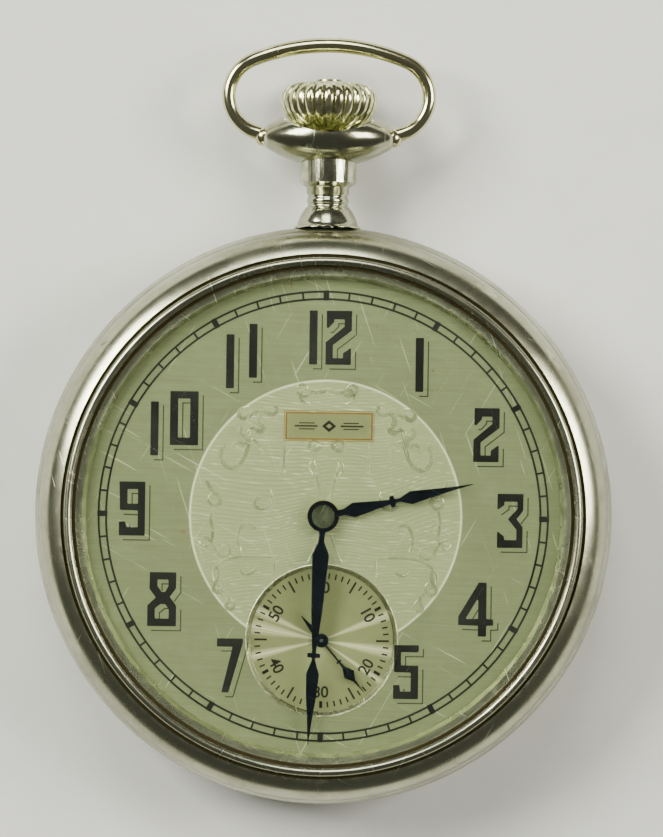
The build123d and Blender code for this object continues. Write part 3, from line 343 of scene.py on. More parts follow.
@dataclass(frozen=True)
class MetalFinish:
    """A worked metal: its colours, its gloss and the marks of tools and handling."""

    name: str
    clean: Colour
    dull: Colour
    gloss: Point = (0.18, 0.42)
    amount: float = 0.6
    specks: float = 0.0
    edges: float = 0.5
    scratches: float = 0.5
    pitch: float = 9000.0
    marks: float = 0.15
    lie: Lie = Lie.DIAL
    centre: tuple[float, float, float] = (0.0, 0.0, 0.0)
    metallic: float = 1.0
    stripes: float = 0.0

    def place(self, g: Graph) -> bpy.types.NodeSocket:
        """Object coordinates, centred and turned so that the piece's axis is Z."""
        turn = {Lie.DIAL: (0, 0, 0), Lie.STEM: (-pi / 2, 0, 0), Lie.BOW: (0, pi / 2, 0)}[self.lie]
        return g.add("Mapping", {"Vector": g.centred(*self.centre), "Rotation": turn}).outputs[0]

    def build(self) -> bpy.types.Material:
        """The material, with wear, scratches and turning marks of this finish."""
        material, g, shader = begin_material(self.name)
        place = self.place(g)
        tarnish = use(g, TARNISH, place=place, clean=rgba(self.clean), dull=rgba(self.dull),
                      amount=self.amount, specks=self.specks)
        rubbed = use(g, EDGES, place=place, amount=self.edges).outputs[0]
        bright = tuple(min(255, c * RUBBED_BRIGHTER) for c in self.clean)
        scratched = use(g, SCRATCHES, place=place, scale=1.0, depth=self.scratches)
        lathe = use(g, LATHE, place=place, pitch=self.pitch).outputs[0]
        colour = g.blend(rubbed, tarnish.outputs["Color"], rgba(bright))
        height = g.maths("ADD", scratched.outputs["Height"], g.maths("MULTIPLY", lathe, self.marks))
        if self.stripes:
            split = g.add("SeparateXYZ", {0: place})
            slant = g.maths("ADD", split.outputs[0], g.maths("MULTIPLY", split.outputs[1], 0.45))
            band = g.maths("SINE", g.maths("MULTIPLY", slant, FULL_TURN / (self.stripes * MM)))
            height = g.maths("ADD", height, g.maths("MULTIPLY", band, 2.0))
            colour = g.blend(g.spread(band, -0.7, 0.9), colour, rgba(bright))
        g.feed(shader.inputs["Base Color"], colour)
        rough = g.between(tarnish.outputs["Mask"], self.gloss)
        rough = g.maths("ADD", rough, g.maths("MULTIPLY", scratched.outputs["Mask"], 0.12))
        g.feed(shader.inputs["Roughness"], rough)
        g.bump(shader, height, 0.35, 0.000012)
        shader.inputs["Metallic"].default_value = self.metallic
        return material


@dataclass(frozen=True)
class DialFinish:
    """The silvered dial: satin outside, lighter engine-turned lines inside the middle disc, with painted glints on
    the cuts and scratches and a painted highlight ring at the disc's edge.
    """

    name: str
    satin: Colour
    dusty: Colour
    cut: Colour
    # painted highlight colour for the glints on the cuts and scratches and for the ring at the disc's edge
    glint: Colour
    disc_r: float = 11.8
    disc_x: float = 0.2

    def build(self) -> bpy.types.Material:
        """The material of the main dial plate."""
        material, g, shader = begin_material(self.name)
        place = g.centred(self.disc_x)
        split = g.add("SeparateXYZ", {0: place})
        across = g.radius(split)
        inside = g.spread(across, (self.disc_r - 0.05) * MM, (self.disc_r + 0.05) * MM, (1.0, 0.0))
        # a thin ring at the disc's edge, which takes a painted highlight below
        line = g.spread(g.maths("ABSOLUTE", g.maths("SUBTRACT", across, self.disc_r * MM)),
                        0.00004, 0.00013, (1.0, 0.0))
        tarnish = use(g, TARNISH, place=place, clean=rgba(self.satin), dull=rgba(self.dusty),
                      amount=0.55, specks=0.55)
        lines = use(g, ENGINE_TURNED, place=place)
        brushed = g.stretched(place, 0.03, (60, 3200, 60))
        grain = g.noise(brushed, 3, 3, 0.6)
        scratched = use(g, SCRATCHES, place=place, scale=0.8, depth=0.6)
        silver = g.blend(g.spread(grain, 0.3, 0.7, (0.0, 0.25)), tarnish.outputs["Color"], rgba(self.cut))
        # painted glint: the flecks along the cuts turn the glint colour
        glitter = g.blend(lines.outputs["Bright"], rgba(self.cut), rgba(self.glint))
        worn = g.blend(g.maths("MULTIPLY", tarnish.outputs["Mask"], 0.35), glitter, rgba(self.satin))
        colour = g.blend(inside, silver, worn)
        # painted highlight: the ring at the disc's edge turns towards the glint colour
        colour = g.blend(g.maths("MULTIPLY", line, 0.7), colour, rgba(self.glint))
        # painted glint: the scratches turn partly to the glint colour
        colour = g.blend(g.maths("MULTIPLY", scratched.outputs["Mask"], 0.28), colour, rgba(self.glint))
        g.feed(shader.inputs["Base Color"], colour)
        shader.inputs["Metallic"].default_value = 0.55
        rough = g.between(tarnish.outputs["Mask"], (0.36, 0.55))
        rough = g.maths("SUBTRACT", rough, g.maths("MULTIPLY", lines.outputs["Bright"], 0.12))
        g.feed(shader.inputs["Roughness"], rough)
        cuts = g.maths("MULTIPLY", lines.outputs["Height"], inside)
        satin = g.maths("MULTIPLY", g.maths("ADD", grain, scratched.outputs["Height"]), 0.8)
        g.bump(shader, g.maths("ADD", cuts, satin), 0.45, 0.00001)
        return material


@dataclass(frozen=True)
class SunburstFinish:
    """The seconds dial's silvering, brushed out from its centre, with painted highlight rays at fixed angles."""

    name: str
    silver: Colour
    dusty: Colour
    glint: Colour

    def build(self) -> bpy.types.Material:
        """The material of the seconds dial."""
        material, g, shader = begin_material(self.name)
        place = g.centred(*SECONDS_AT)
        tarnish = use(g, TARNISH, place=place, clean=rgba(self.silver), dull=rgba(self.dusty),
                      amount=0.5, specks=0.3)
        burst = use(g, SUNBURST, place=place)
        # painted highlight: the fixed rays, where the brushing is high, take the bright glint colour
        glint = g.maths("MULTIPLY", burst.outputs["Glint"], g.spread(burst.outputs["Height"], 0.25, 0.7))
        g.feed(shader.inputs["Base Color"], g.blend(glint, tarnish.outputs["Color"], rgba(self.glint)))
        g.feed(shader.inputs["Roughness"], g.between(tarnish.outputs["Mask"], (0.3, 0.48)))
        shader.inputs["Metallic"].default_value = 0.6
        g.bump(shader, burst.outputs["Height"], 0.5, 0.00002)
        return material


@dataclass(frozen=True)
class InkFinish:
    """Printed enamel ink with a slightly worn, uneven face."""

    name: str
    ink: Colour
    worn: Colour
    rough: Point = (0.35, 0.6)
    sheen: float = 0.25

    def build(self) -> bpy.types.Material:
        """The material of anything printed on the dials."""
        material, g, shader = begin_material(self.name)
        place = g.add("TexCoord").outputs["Object"]
        tarnish = use(g, TARNISH, place=place, clean=rgba(self.ink), dull=rgba(self.worn),
                      amount=0.6, specks=0.0)
        g.feed(shader.inputs["Base Color"], tarnish.outputs["Color"])
        g.feed(shader.inputs["Roughness"], g.between(tarnish.outputs["Mask"], self.rough))
        shader.inputs["Specular IOR Level"].default_value = self.sheen
        g.bump(shader, g.noise(place, 2600, 4), 0.3, 0.000008)
        return material


@dataclass(frozen=True)
class GlassFinish:
    """The crystal: clear, with fine wear that only blurs it in places."""

    name: str
    tint: Colour

    def build(self) -> bpy.types.Material:
        """The material of the crystal, which lets lamp light through to the dial."""
        material, g, shader = begin_material(self.name)
        place = g.add("TexCoord").outputs["Object"]
        scratched = use(g, SCRATCHES, place=place, scale=0.6, depth=0.3)
        shader.inputs["Base Color"].default_value = rgba(self.tint)
        shader.inputs["Transmission Weight"].default_value = 1.0
        shader.inputs["IOR"].default_value = 1.45
        g.feed(shader.inputs["Roughness"], g.between(scratched.outputs["Mask"], (0.0, 0.12)))
        clear = g.add("BsdfTransparent", {"Color": rgba(self.tint)})
        path = g.add("LightPath").outputs["Is Shadow Ray"]
        mix = g.add("MixShader", {0: path, 1: shader.outputs[0], 2: clear.outputs[0]})
        g.feed(material.node_tree.nodes["Material Output"].inputs[0], mix.outputs[0])
        return material


NICKEL_CLEAN, NICKEL_DULL = (180, 181, 155), (112, 113, 89)
FINISHES = {
    "case": MetalFinish("nickel_silver_case", NICKEL_CLEAN, NICKEL_DULL, (0.24, 0.46),
                        0.6, 0.12, 0.8, 0.7),
    "bezel": MetalFinish("nickel_silver_bezel", NICKEL_CLEAN, NICKEL_DULL, (0.2, 0.4),
                         0.55, 0.5, 0.9, 0.7),
    # painted shade: a dark brown metal for the floors of the bezel's groove and recess, standing in for shade in
    # these hollows
    "recess": MetalFinish("painted_shade_recess", (74, 68, 48), (40, 36, 24), (0.4, 0.7), 0.9),
    "pendant": MetalFinish("nickel_silver_pendant", NICKEL_CLEAN, NICKEL_DULL, (0.12, 0.3),
                           0.5, 0.2, 0.9, 0.8, lie=Lie.STEM, centre=(0.0, 28.0, STEM_Z)),
    "bow": MetalFinish("nickel_silver_bow", (212, 210, 168), (142, 130, 88), (0.12, 0.3),
                       0.45, 0.5, 0.9, 0.8, pitch=2500.0, lie=Lie.STEM, centre=(0.0, 28.0, STEM_Z)),
    "crown": MetalFinish("nickel_silver_crown", (200, 200, 158), (84, 84, 52), (0.14, 0.36),
                         0.6, 0.1, 1.0, 0.6, lie=Lie.STEM, centre=(0.0, 36.0, STEM_Z)),
    "plate": MetalFinish("damaskeened_nickel", (206, 206, 196), (168, 168, 154), (0.22, 0.36),
                         0.4, 0.0, 0.8, 0.4, stripes=1.6),
    "steel": MetalFinish("polished_steel", (190, 192, 194), (130, 132, 134), (0.12, 0.28),
                         0.4, 0.0, 0.8, 0.5),
    "brass": MetalFinish("gilt_brass", (216, 176, 96), (160, 120, 58), (0.18, 0.36), 0.5, 0.0, 0.9, 0.4),
    "blued": MetalFinish("blued_steel", (46, 56, 70), (34, 36, 34), (0.16, 0.36),
                         0.7, 0.0, 0.35, 0.5, marks=0.05),
    "hub": MetalFinish("hand_hub_steel", (128, 136, 108), (70, 76, 54), (0.2, 0.4), 0.6, 0.0, 0.9, 0.5),
    "ruby": InkFinish("synthetic_ruby", (150, 18, 44), (96, 8, 26), (0.06, 0.16)),
    # the dial's last colour is its painted glint and highlight colour
    "dial": DialFinish("silvered_dial", (101, 107, 78), (87, 92, 64), (133, 139, 103), (206, 210, 172)),
    "ribbon": MetalFinish("engraved_scrolls", (158, 164, 124), (116, 122, 86), (0.16, 0.34),
                          0.7, 0.0, 1.0, 0.6, metallic=0.75),
    # the seconds dial's last colour is its painted highlight colour for the fixed rays
    "seconds": SunburstFinish("sunburst_silver", (122, 126, 88), (104, 104, 70), (228, 222, 184)),
    "ink": InkFinish("dial_ink", (8, 9, 5), (18, 19, 12)),
    "shadow_ink": InkFinish("dial_shadow_ink", (34, 37, 24), (58, 62, 42)),
    "gold_ink": InkFinish("cartouche_gold", (104, 78, 30), (74, 52, 20)),
    "glass": GlassFinish("crystal_glass", (252, 255, 250)),
}
MATERIALS = {name: finish.build() for name, finish in FINISHES.items()}


# ---- mesh building -----------------------------------------------------------------------------
def stand(name: str, data: bpy.types.ID) -> bpy.types.Object:
    """A new object in the scene, at the origin."""
    thing = bpy.data.objects.new(name, data)
    bpy.context.scene.collection.objects.link(thing)
    return thing


def skin(bm: bmesh.types.BMesh, rings: list[list], ends: tuple[int, ...] = (0, -1)) -> None:
    """Joins closed rings of points with faces.

    Args:
        bm: the mesh the points are in.
        rings: the rings, all with as many points.
        ends: which of the rings get a face of their own.
    """
    for low, high in zip(rings, rings[1:]):
        for k in range(len(low)):
            n = (k + 1) % len(low)
            bm.faces.new((low[k], low[n], high[n], high[k]))
    for end in ends:
        bm.faces.new(rings[end])


def filled(loops: list[list[Point]] | tuple, height: float) -> bmesh.types.BMesh:
    """Flat faces that fill outlines, apart from the holes in them."""
    flat = bmesh.new()
    for loop in loops:
        verts = [flat.verts.new((x, y, height)) for x, y in loop]
        for i, vert in enumerate(verts):
            flat.edges.new((verts[i - 1], vert))
    bmesh.ops.triangle_fill(flat, use_beauty=True, use_dissolve=False, edges=flat.edges[:])
    return flat


def pour(source: bmesh.types.BMesh, bm: bmesh.types.BMesh) -> None:
    """Adds one mesh to another and frees the first."""
    mesh = bpy.data.meshes.new("flat_part")
    source.to_mesh(mesh)
    source.free()
    bm.from_mesh(mesh)
    bpy.data.meshes.remove(mesh)


def tidy_shading(mesh: bpy.types.Mesh) -> None:
    """Smooth faces with sharp edges where the surface turns a corner."""
    mesh.polygons.foreach_set("use_smooth", [True] * len(mesh.polygons))
    mesh.set_sharp_from_angle(angle=SMOOTH_ANGLE)


def to_piece(name: str, bm: bmesh.types.BMesh, finish: str, merge: float = 0.0004) -> bpy.types.Object:
    """Closes, turns out and scales a mesh drawn in millimetres, and makes it an object at the origin.

    Args:
        name: the piece's name.
        bm: the mesh, in millimetres; it is freed here.
        finish: which finish it takes.
        merge: how near points are joined, in millimetres.

    Returns:
        The new object.
    """
    bmesh.ops.remove_doubles(bm, verts=bm.verts, dist=merge)
    bmesh.ops.recalc_face_normals(bm, faces=bm.faces)
    bmesh.ops.scale(bm, vec=(MM, MM, MM), verts=bm.verts)
    mesh = bpy.data.meshes.new(name)
    bm.to_mesh(mesh)
    bm.free()
    tidy_shading(mesh)
    mesh.materials.append(MATERIALS[finish])
    return stand(name, mesh)


def arc_corner(before: Point, corner: Point, after: Point, radius: float, steps: int) -> list[Point]:
    """A corner of an outline rounded to a radius.

    Args:
        before: the point before the corner.
        corner: the corner.
        after: the point after it.
        radius: the rounding's radius.
        steps: how many pieces the arc has.

    Returns:
        The points of the arc, in order.
    """
    a = Vector(before) - Vector(corner)
    b = Vector(after) - Vector(corner)
    reach_a, reach_b = a.length, b.length
    if radius <= 0 or reach_a < TINY or reach_b < TINY:
        return [corner]
    a.normalize()
    b.normalize()
    half = a.angle(b) / 2
    if half > pi / 2 - 0.02 or half < 0.05:
        return [corner]
    trim = min(radius / tan(half), 0.48 * reach_a, 0.48 * reach_b)
    radius = trim * tan(half)
    centre = Vector(corner) + (a + b).normalized() * (radius / sin(half))
    first = Vector(corner) + a * trim - centre
    last = Vector(corner) + b * trim - centre
    sweep = first.angle_signed(last)
    return [tuple(centre + Matrix.Rotation(-sweep * i / steps, 2) @ first) for i in range(steps + 1)]


def rounded(outline: list[Point], radius: float, steps: int) -> list[Point]:
    """A closed outline with each corner rounded to a radius, in so many steps."""
    result = []
    for i, point in enumerate(outline):
        result += arc_corner(outline[i - 1], point, outline[(i + 1) % len(outline)], radius, steps)
    return result


def lathe(profile: list[Point], segments: int, centre: Point = (0.0, 0.0),
          bm: bmesh.types.BMesh | None = None, lie: Lie = Lie.DIAL, close: bool = True) -> bmesh.types.BMesh:
    """A turned mesh from (radius, height) points.

    Args:
        profile: the outline, closed on itself unless it starts and ends on the axis.
        segments: pieces round the axis.
        centre: where the axis stands, for a piece about Z.
        bm: a mesh to add to.
        lie: the axis: Z through centre, or Y or X at the stem's height.
        close: whether the outline's end joins its start.

    Returns:
        The mesh, in millimetres.
    """
    bm = bm or bmesh.new()
    rings = []
    for radius, height in profile:
        count = 1 if radius < TINY else segments
        ring = []
        for i in range(count):
            angle = FULL_TURN * i / segments
            x, y = radius * cos(angle), radius * sin(angle)
            place = {
                Lie.DIAL: (centre[0] + x, centre[1] + y, height),
                Lie.STEM: (x, height, STEM_Z + y),
                Lie.BOW: (height, centre[1] + x, STEM_Z + y),
            }[lie]
            ring.append(bm.verts.new(place))
        rings.append(ring)
    pairs = list(zip(rings, rings[1:])) + ([(rings[-1], rings[0])] if close else [])
    for low, high in pairs:
        if len(low) == len(high) == 1:
            continue
        for i in range(segments):
            j = (i + 1) % segments
            corners = [low[i % len(low)], low[j % len(low)], high[j % len(high)], high[i % len(high)]]
            unique = list(dict.fromkeys(corners))
            bm.faces.new(unique)
    return bm


def slab(loops: list[list[Point]], low: float, high: float,
         bm: bmesh.types.BMesh | None = None) -> bmesh.types.BMesh:
    """A flat piece from outlines and the holes in them, given a thickness.

    Args:
        loops: closed outlines; one inside another is a hole.
        low: the underside's height.
        high: the top's height.
        bm: a mesh to add to.

    Returns:
        The mesh, in millimetres.
    """
    bm = bm or bmesh.new()
    flat = filled(loops, low)
    top = bmesh.ops.extrude_face_region(flat, geom=flat.faces[:])
    moved = [v for v in top["geom"] if isinstance(v, bmesh.types.BMVert)]
    bmesh.ops.translate(flat, vec=(0, 0, high - low), verts=moved)
    pour(flat, bm)
    return bm


def ring_loop(radius: float, count: int, centre: Point = (0.0, 0.0)) -> list[Point]:
    """A circle as a closed outline."""
    return [(centre[0] + radius * cos(t), centre[1] + radius * sin(t))
            for t in (FULL_TURN * i / count for i in range(count))]


def swept(path: list[Vector], radii: list[float], segments: int = 28) -> bmesh.types.BMesh:
    """A round wire along a flat path, its thickness changing on the way, closed at both ends.

    Args:
        path: points at the stem's height, in millimetres.
        radii: the wire's radius at each.
        segments: pieces round the wire.

    Returns:
        The mesh, in millimetres.
    """
    bm = bmesh.new()
    rings = []
    for i, (point, radius) in enumerate(zip(path, radii)):
        along = (path[min(i + 1, len(path) - 1)] - path[max(i - 1, 0)]).normalized()
        side = along.cross(Vector((0, 0, 1))).normalized()
        rings.append([bm.verts.new(point + radius * (cos(t) * side + sin(t) * Vector((0, 0, 1))))
                      for t in (FULL_TURN * k / segments for k in range(segments))])
    skin(bm, rings)
    return bm


def smooth_copy(node: str, finish: str) -> bpy.types.Object:
    """A copy of a CAD node with its loose triangles joined and its curved faces smoothed.

    Args:
        node: the CAD node.
        finish: the finish the copy takes.

    Returns:
        The copy, in the node's place.
    """
    bm = bmesh.new()
    bm.from_mesh(frame["nodes"][node].data)
    bmesh.ops.scale(bm, vec=(1 / MM, 1 / MM, 1 / MM), verts=bm.verts)
    return to_piece(node + "_worked", bm, finish, 0.001)


def settle(piece: bpy.types.Object, body: str, slot: str, *nodes: str) -> bpy.types.Object:
    """Rides a finished piece on its body, in place of the CAD nodes it stands for.

    Args:
        piece: the finished piece.
        body: the CAD body it moves with.
        slot: the record's material slot; not used.
        nodes: the CAD nodes that it replaces.

    Returns:
        The piece.
    """
    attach(piece, body)
    if nodes:
        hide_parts(*nodes)
    log.info("%s rides on %s, %d faces", piece.name, body, len(piece.data.polygons))
    return piece


class RingPattern:
    """A Geometry Nodes tree that sets copies of a small shape round a circle."""

    def __init__(self) -> None:
        """Builds the tree once, with named inputs."""
        tree = bpy.data.node_groups.new("shapes_round_a_circle", "GeometryNodeTree")
        sockets = (("Geometry", "Geometry"), ("Count", "Int"), ("Step", "Float"), ("Start", "Float"),
                   ("Radius", "Float"), ("Finish", "Material"))
        self.ids = {}
        for name, kind in sockets:
            socket = tree.interface.new_socket(name=name, in_out="INPUT", socket_type="NodeSocket" + kind)
            self.ids[name] = socket.identifier
        tree.interface.new_socket(name="Geometry", in_out="OUTPUT", socket_type="NodeSocketGeometry")
        kinds = {
            "start": "NodeGroupInput", "end": "NodeGroupOutput", "points": "GeometryNodePoints",
            "index": "GeometryNodeInputIndex", "angle": "ShaderNodeMath", "turn": "ShaderNodeCombineXYZ",
            "out": "ShaderNodeCombineXYZ", "rotate": "ShaderNodeVectorRotate",
            "copies": "GeometryNodeInstanceOnPoints", "real": "GeometryNodeRealizeInstances",
            "dress": "GeometryNodeSetMaterial",
        }
        nodes = {name: tree.nodes.new(kind) for name, kind in kinds.items()}
        nodes["angle"].operation = "MULTIPLY_ADD"
        nodes["rotate"].rotation_type = "Z_AXIS"
        for source, output, target, entry in (
            ("start", "Count", "points", "Count"), ("index", 0, "angle", 0), ("start", "Step", "angle", 1),
            ("start", "Start", "angle", 2), ("start", "Radius", "out", 0), ("out", 0, "rotate", "Vector"),
            ("angle", 0, "rotate", "Angle"), ("rotate", 0, "points", "Position"), ("angle", 0, "turn", 2),
            ("points", 0, "copies", "Points"), ("start", "Geometry", "copies", "Instance"),
            ("turn", 0, "copies", "Rotation"), ("copies", 0, "real", 0), ("real", 0, "dress", "Geometry"),
            ("start", "Finish", "dress", "Material"), ("dress", 0, "end", 0),
        ):
            tree.links.new(nodes[source].outputs[output], nodes[target].inputs[entry])
        self.tree = tree

    def make(self, name: str, shape: bmesh.types.BMesh, finish: str, count: int, radius: float,
             start: float = 0.0) -> bpy.types.Object:
        """Sets a shape, drawn with X outwards, round a circle about Z, as a plain mesh.

        Args:
            name: the piece's name.
            shape: one copy, in millimetres.
            finish: its finish.
            count: how many copies.
            radius: the circle they stand on, in millimetres.
            start: the first one's angle.

        Returns:
            The piece, at the origin.
        """
        seed = to_piece(name + "_one", shape, finish)
        modifier = seed.modifiers.new("ring", "NODES")
        modifier.node_group = self.tree
        values = {"Count": count, "Step": FULL_TURN / count, "Start": start,
                  "Radius": radius * MM, "Finish": MATERIALS[finish]}
        for key, value in values.items():
            modifier[self.ids[key]] = value
        bpy.context.view_layer.update()
        graph = bpy.context.evaluated_depsgraph_get()
        mesh = bpy.data.meshes.new_from_object(seed.evaluated_get(graph))
        seed.modifiers.remove(modifier)
        bpy.data.objects.remove(seed)
        mesh.name = name
        return stand(name, mesh)


RING = RingPattern()


def place_mesh(piece: bpy.types.Object, matrix: Matrix) -> None:
    """Moves a piece's mesh and leaves its object at the origin."""
    piece.data.transform(matrix)
    piece.data.update()


def box_shape(length: float, width: float, low: float, high: float) -> bmesh.types.BMesh:
    """A small bar with X outwards and slightly rounded corners."""
    half, side = length / 2, width / 2
    corners = [(-half, -side), (half, -side), (half, side), (-half, side)]
    return slab([rounded(corners, min(half, side) * 0.3, 2)], low, high)


# ---- case --------------------------------------------------------------------------------------
@dataclass
class Case:
    """The back, the band, the bezel and the crystal: all turned about the dial's axis."""

    rest_r: float = 14.0
    thread_r: float = 23.67
    back_top: float = 2.75
    seat_z: float = 0.7
    groove: Point = (22.6, 22.81)
    recess: Point = (21.5, 21.86)
    recess_z: float = 11.0
    crystal_r: float = 21.5
    crystal_top: float = 13.4
    crystal_under: float = 12.75
    segments: int = 256

    def bulged(self, start: Point, end: Point, bulge: float, steps: int = 10) -> list[Point]:
        """An arc between two points that stands out by the bulge."""
        a, b = Vector(start), Vector(end)
        across = (b - a).normalized()
        out = Vector((across.y, -across.x))
        return [tuple(a.lerp(b, t) + out * bulge * 4 * t * (1 - t))
                for t in (i / steps for i in range(steps + 1))]

    def build_back(self) -> None:
        """The screw back, with its flat resting face."""
        shoulder = (23.4, 1.15)
        dish = self.bulged((self.rest_r, 0.0), shoulder, 0.286)
        dish += self.bulged(shoulder, (24.84, 2.72), 0.3)[1:]
        profile = [(0, 0), (6.0, 0.0)] + dish
        profile += [(24.84, self.back_top), (self.thread_r, self.back_top), (self.thread_r, 1.98),
                    (23.0, 1.98), (self.rest_r, self.seat_z), (0, self.seat_z)]
        bm = lathe(profile, self.segments, close=False)
        settle(to_piece("screw_back", bm, "case"), "back", "case_nickel", "back_cover")

    def build_band(self) -> None:
        """The middle band, with its threads, ledge and stem hole."""
        settle(smooth_copy("case_center", "case"), "case", "case_nickel", "case_center")

    def build_bezel(self) -> None:
        """The bezel's broad ring, groove, bead, recess and crystal seat; the flat floors of the groove and the
        recess take a dark metal as painted shade.
        """
        ring = self.bulged((24.86, 8.36), (22.87, 11.4), 0.62, 16)
        bead = [(22.6 + (21.85 - 22.6) * t, 11.4 + 0.05 * t + 0.26 * 4 * t * (1 - t))
                for t in (i / 8 for i in range(9))]
        profile = [(self.thread_r, 8.34)] + ring
        profile += [(22.83, 11.36), (22.8, 11.15), (22.65, 11.15), (22.61, 11.36)] + bead
        profile += [(21.85, 11.2), (21.54, 11.2), (21.54, 10.8), (20.95, 10.8), (20.65, 9.72),
                    (self.thread_r, 9.72)]
        piece = to_piece("screw_bezel", lathe(profile, self.segments), "bezel")
        piece.data.materials.append(MATERIALS["recess"])
        # painted shade: the flat floors of the groove and the recess take the dark recess metal
        for face in piece.data.polygons:
            radius = hypot(face.center.x, face.center.y) / MM
            hollow = any(low < radius < high for low, high in (self.groove, self.recess))
            if hollow and abs(face.normal.z) > 0.9 and face.center.z > self.recess_z * MM:
                face.material_index = 1
        settle(piece, "bezel", "case_nickel", "bezel")

    def build_crystal(self) -> None:
        """The domed crystal on its foot."""
        def dome(edge_r: float, edge_z: float, top_z: float, steps: int = 24) -> list[Point]:
            """The dome's points from its edge to the axis."""
            rise = top_z - edge_z
            radius = (edge_r**2 + rise**2) / (2 * rise)
            reach = atan2(edge_r, radius - rise)
            return [(radius * sin(t), top_z - radius + radius * cos(t))
                    for t in (reach * (1 - i / steps) for i in range(steps + 1))]
        outer = [(21.0, 10.82), (self.crystal_r, 10.82)] + dome(self.crystal_r, 11.4, self.crystal_top)
        outer[-1] = (0.0, self.crystal_top)
        inner = list(reversed(dome(21.0, 10.95, self.crystal_under)))
        inner[0] = (0.0, self.crystal_under)
        bm = lathe(outer + inner, 160)
        settle(to_piece("domed_crystal", bm, "glass"), "crystal", "glass", "crystal")

    def build(self) -> None:
        """Builds and dresses every piece of the case."""
        self.build_back()
        self.build_band()
        self.build_bezel()
        self.build_crystal()


# ---- pendant -----------------------------------------------------------------------------------
@dataclass
class Pendant:
    """The neck, the bow's head, the bow and the crown."""

    bow_axis_y: float = 33.31
    head_half: float = 5.65
    wire_top: float = 0.68
    wire_side: float = 0.6
    ball_r: float = 0.88
    pin_r: float = 0.45
    pin_start: float = 4.99
    ribs: int = 28
    rib_sides: int = 10

    def build_neck(self) -> None:
        """The turned neck; its ends run into the case and the head."""
        settle(smooth_copy("pendant_neck", "pendant"), "case", "case_nickel", "pendant_neck")
        settle(smooth_copy("bow_head", "pendant"), "case", "case_nickel", "bow_head")

    def bow_path(self) -> list[Vector]:
        """The bow's centreline from one pivot round to the other."""
        side_x, side_y, side_r, top_y, drop = 5.45, 36.95, 3.4, 41.45, radians(18)
        gap = top_y - side_r - side_y
        centre_y = ((top_y - side_r) ** 2 - side_y**2 - side_x**2) / (2 * gap)
        turn = atan2(side_y - centre_y, side_x)
        low = drop - pi / 2
        hip = Vector((side_x + side_r * cos(low), side_y + side_r * sin(low)))
        end = Vector((self.head_half + 0.04, hip.y - (hip.x - self.head_half - 0.04) * tan(drop)))
        half = [end.lerp(hip, i / 6) for i in range(6)]
        half += [Vector((side_x + side_r * cos(t), side_y + side_r * sin(t)))
                 for t in (low + (turn - low) * i / 30 for i in range(30))]
        radius = top_y - centre_y
        half += [Vector((radius * cos(t), centre_y + radius * sin(t)))
                 for t in (turn + (pi / 2 - turn) * i / 16 for i in range(17))]
        other = [Vector((-p.x, p.y)) for p in reversed(half[:-1])]
        return [Vector((p.x, p.y, STEM_Z)) for p in half + other]

    def build_bow(self) -> None:
        """The bow: thicker at the top and the joints than on its sides, with ball ends and pivots."""
        path = self.bow_path()
        last = len(path) - 1
        radii = []
        for i in range(last + 1):
            middle = abs(2 * i / last - 1)
            joint = max(0.0, (middle - 0.72) / 0.28)
            top = max(0.0, 1 - middle / 0.5)
            thin = self.wire_side + (self.wire_top - self.wire_side) * max(top, joint)
            radii.append(min(thin, self.wire_top))
        bm = swept(path, radii)
        for side in (-1, 1):
            root, rise = self.head_half + 0.04, self.ball_r * 0.95
            profile = [(self.ball_r * cos(t), side * (root + rise * sin(t)))
                       for t in (pi / 2 * i / 10 * 0.999 for i in range(11))]
            profile[-1] = (0.0, side * (root + rise))
            flat = [(0.0, profile[0][1]), (self.ball_r * 0.96, profile[0][1])]
            lathe(flat + profile, 32, (0.0, self.bow_axis_y), bm, Lie.BOW, close=False)
            start, stop = side * self.pin_start, side * (self.head_half + 0.3)
            pin = [(0.0, start), (self.pin_r, start), (self.pin_r, stop), (0.0, stop)]
            lathe(pin, 24, (0.0, self.bow_axis_y), bm, Lie.BOW, close=False)
        settle(to_piece("bow_ring", bm, "bow"), "bow", "case_nickel", "bow")

    def build_crown(self) -> None:
        """The crown: a turned core with rounded ribs set round it and a small flat boss."""
        core = [(0, 33.64), (1.2, 33.64), (1.35, 33.85), (3.3, 34.9), (3.86, 35.8), (4.1, 36.8),
                (3.55, 37.7), (2.5, 38.1), (1.15, 38.14), (1.12, 38.38), (1.02, 38.43), (0, 38.43)]
        bm = lathe(core, 96, lie=Lie.STEM, close=False)
        settle(to_piece("crown_core", bm, "crown"), "crown", "case_nickel", "crown")
        rib = bmesh.new()
        spine = [(1.5, 33.92, 0.1), (2.4, 34.36, 0.2), (3.38, 34.9, 0.3), (3.86, 35.7, 0.37),
                 (4.07, 36.5, 0.4), (3.98, 37.1, 0.37), (3.6, 37.62, 0.3), (3.0, 37.92, 0.22),
                 (2.3, 38.02, 0.12)]
        rings = []
        for i, (radius, height, wide) in enumerate(spine):
            ahead, behind = spine[min(i + 1, len(spine) - 1)], spine[max(i - 1, 0)]
            along = Vector((ahead[0] - behind[0], 0, ahead[1] - behind[1])).normalized()
            out = Vector((along.z, 0, -along.x))
            rings.append([rib.verts.new(Vector((radius, 0, height)) + 0.24 * sin(t) * out * wide / 0.4
                                        + wide * cos(t) * Vector((0, 1, 0)))
                          for t in (FULL_TURN * k / self.rib_sides for k in range(self.rib_sides))])
        skin(rib, rings)
        piece = RING.make("crown_ribs", rib, "crown", self.ribs, 0.0)
        place_mesh(piece, Matrix.Translation((0, 0, STEM_Z * MM)) @ Matrix.Rotation(-pi / 2, 4, "X"))
        settle(piece, "crown", "case_nickel")

    def build(self) -> None:
        """Builds and dresses every piece of the pendant."""
        self.build_neck()
        self.build_bow()
        self.build_crown()


# ---- dial --------------------------------------------------------------------------------------
@dataclass(frozen=True)
class Glyph:
    """One dial numeral as an outline on a grid 10 wide and 22 high, with the openings in it."""

    outline: tuple
    counters: tuple = ()


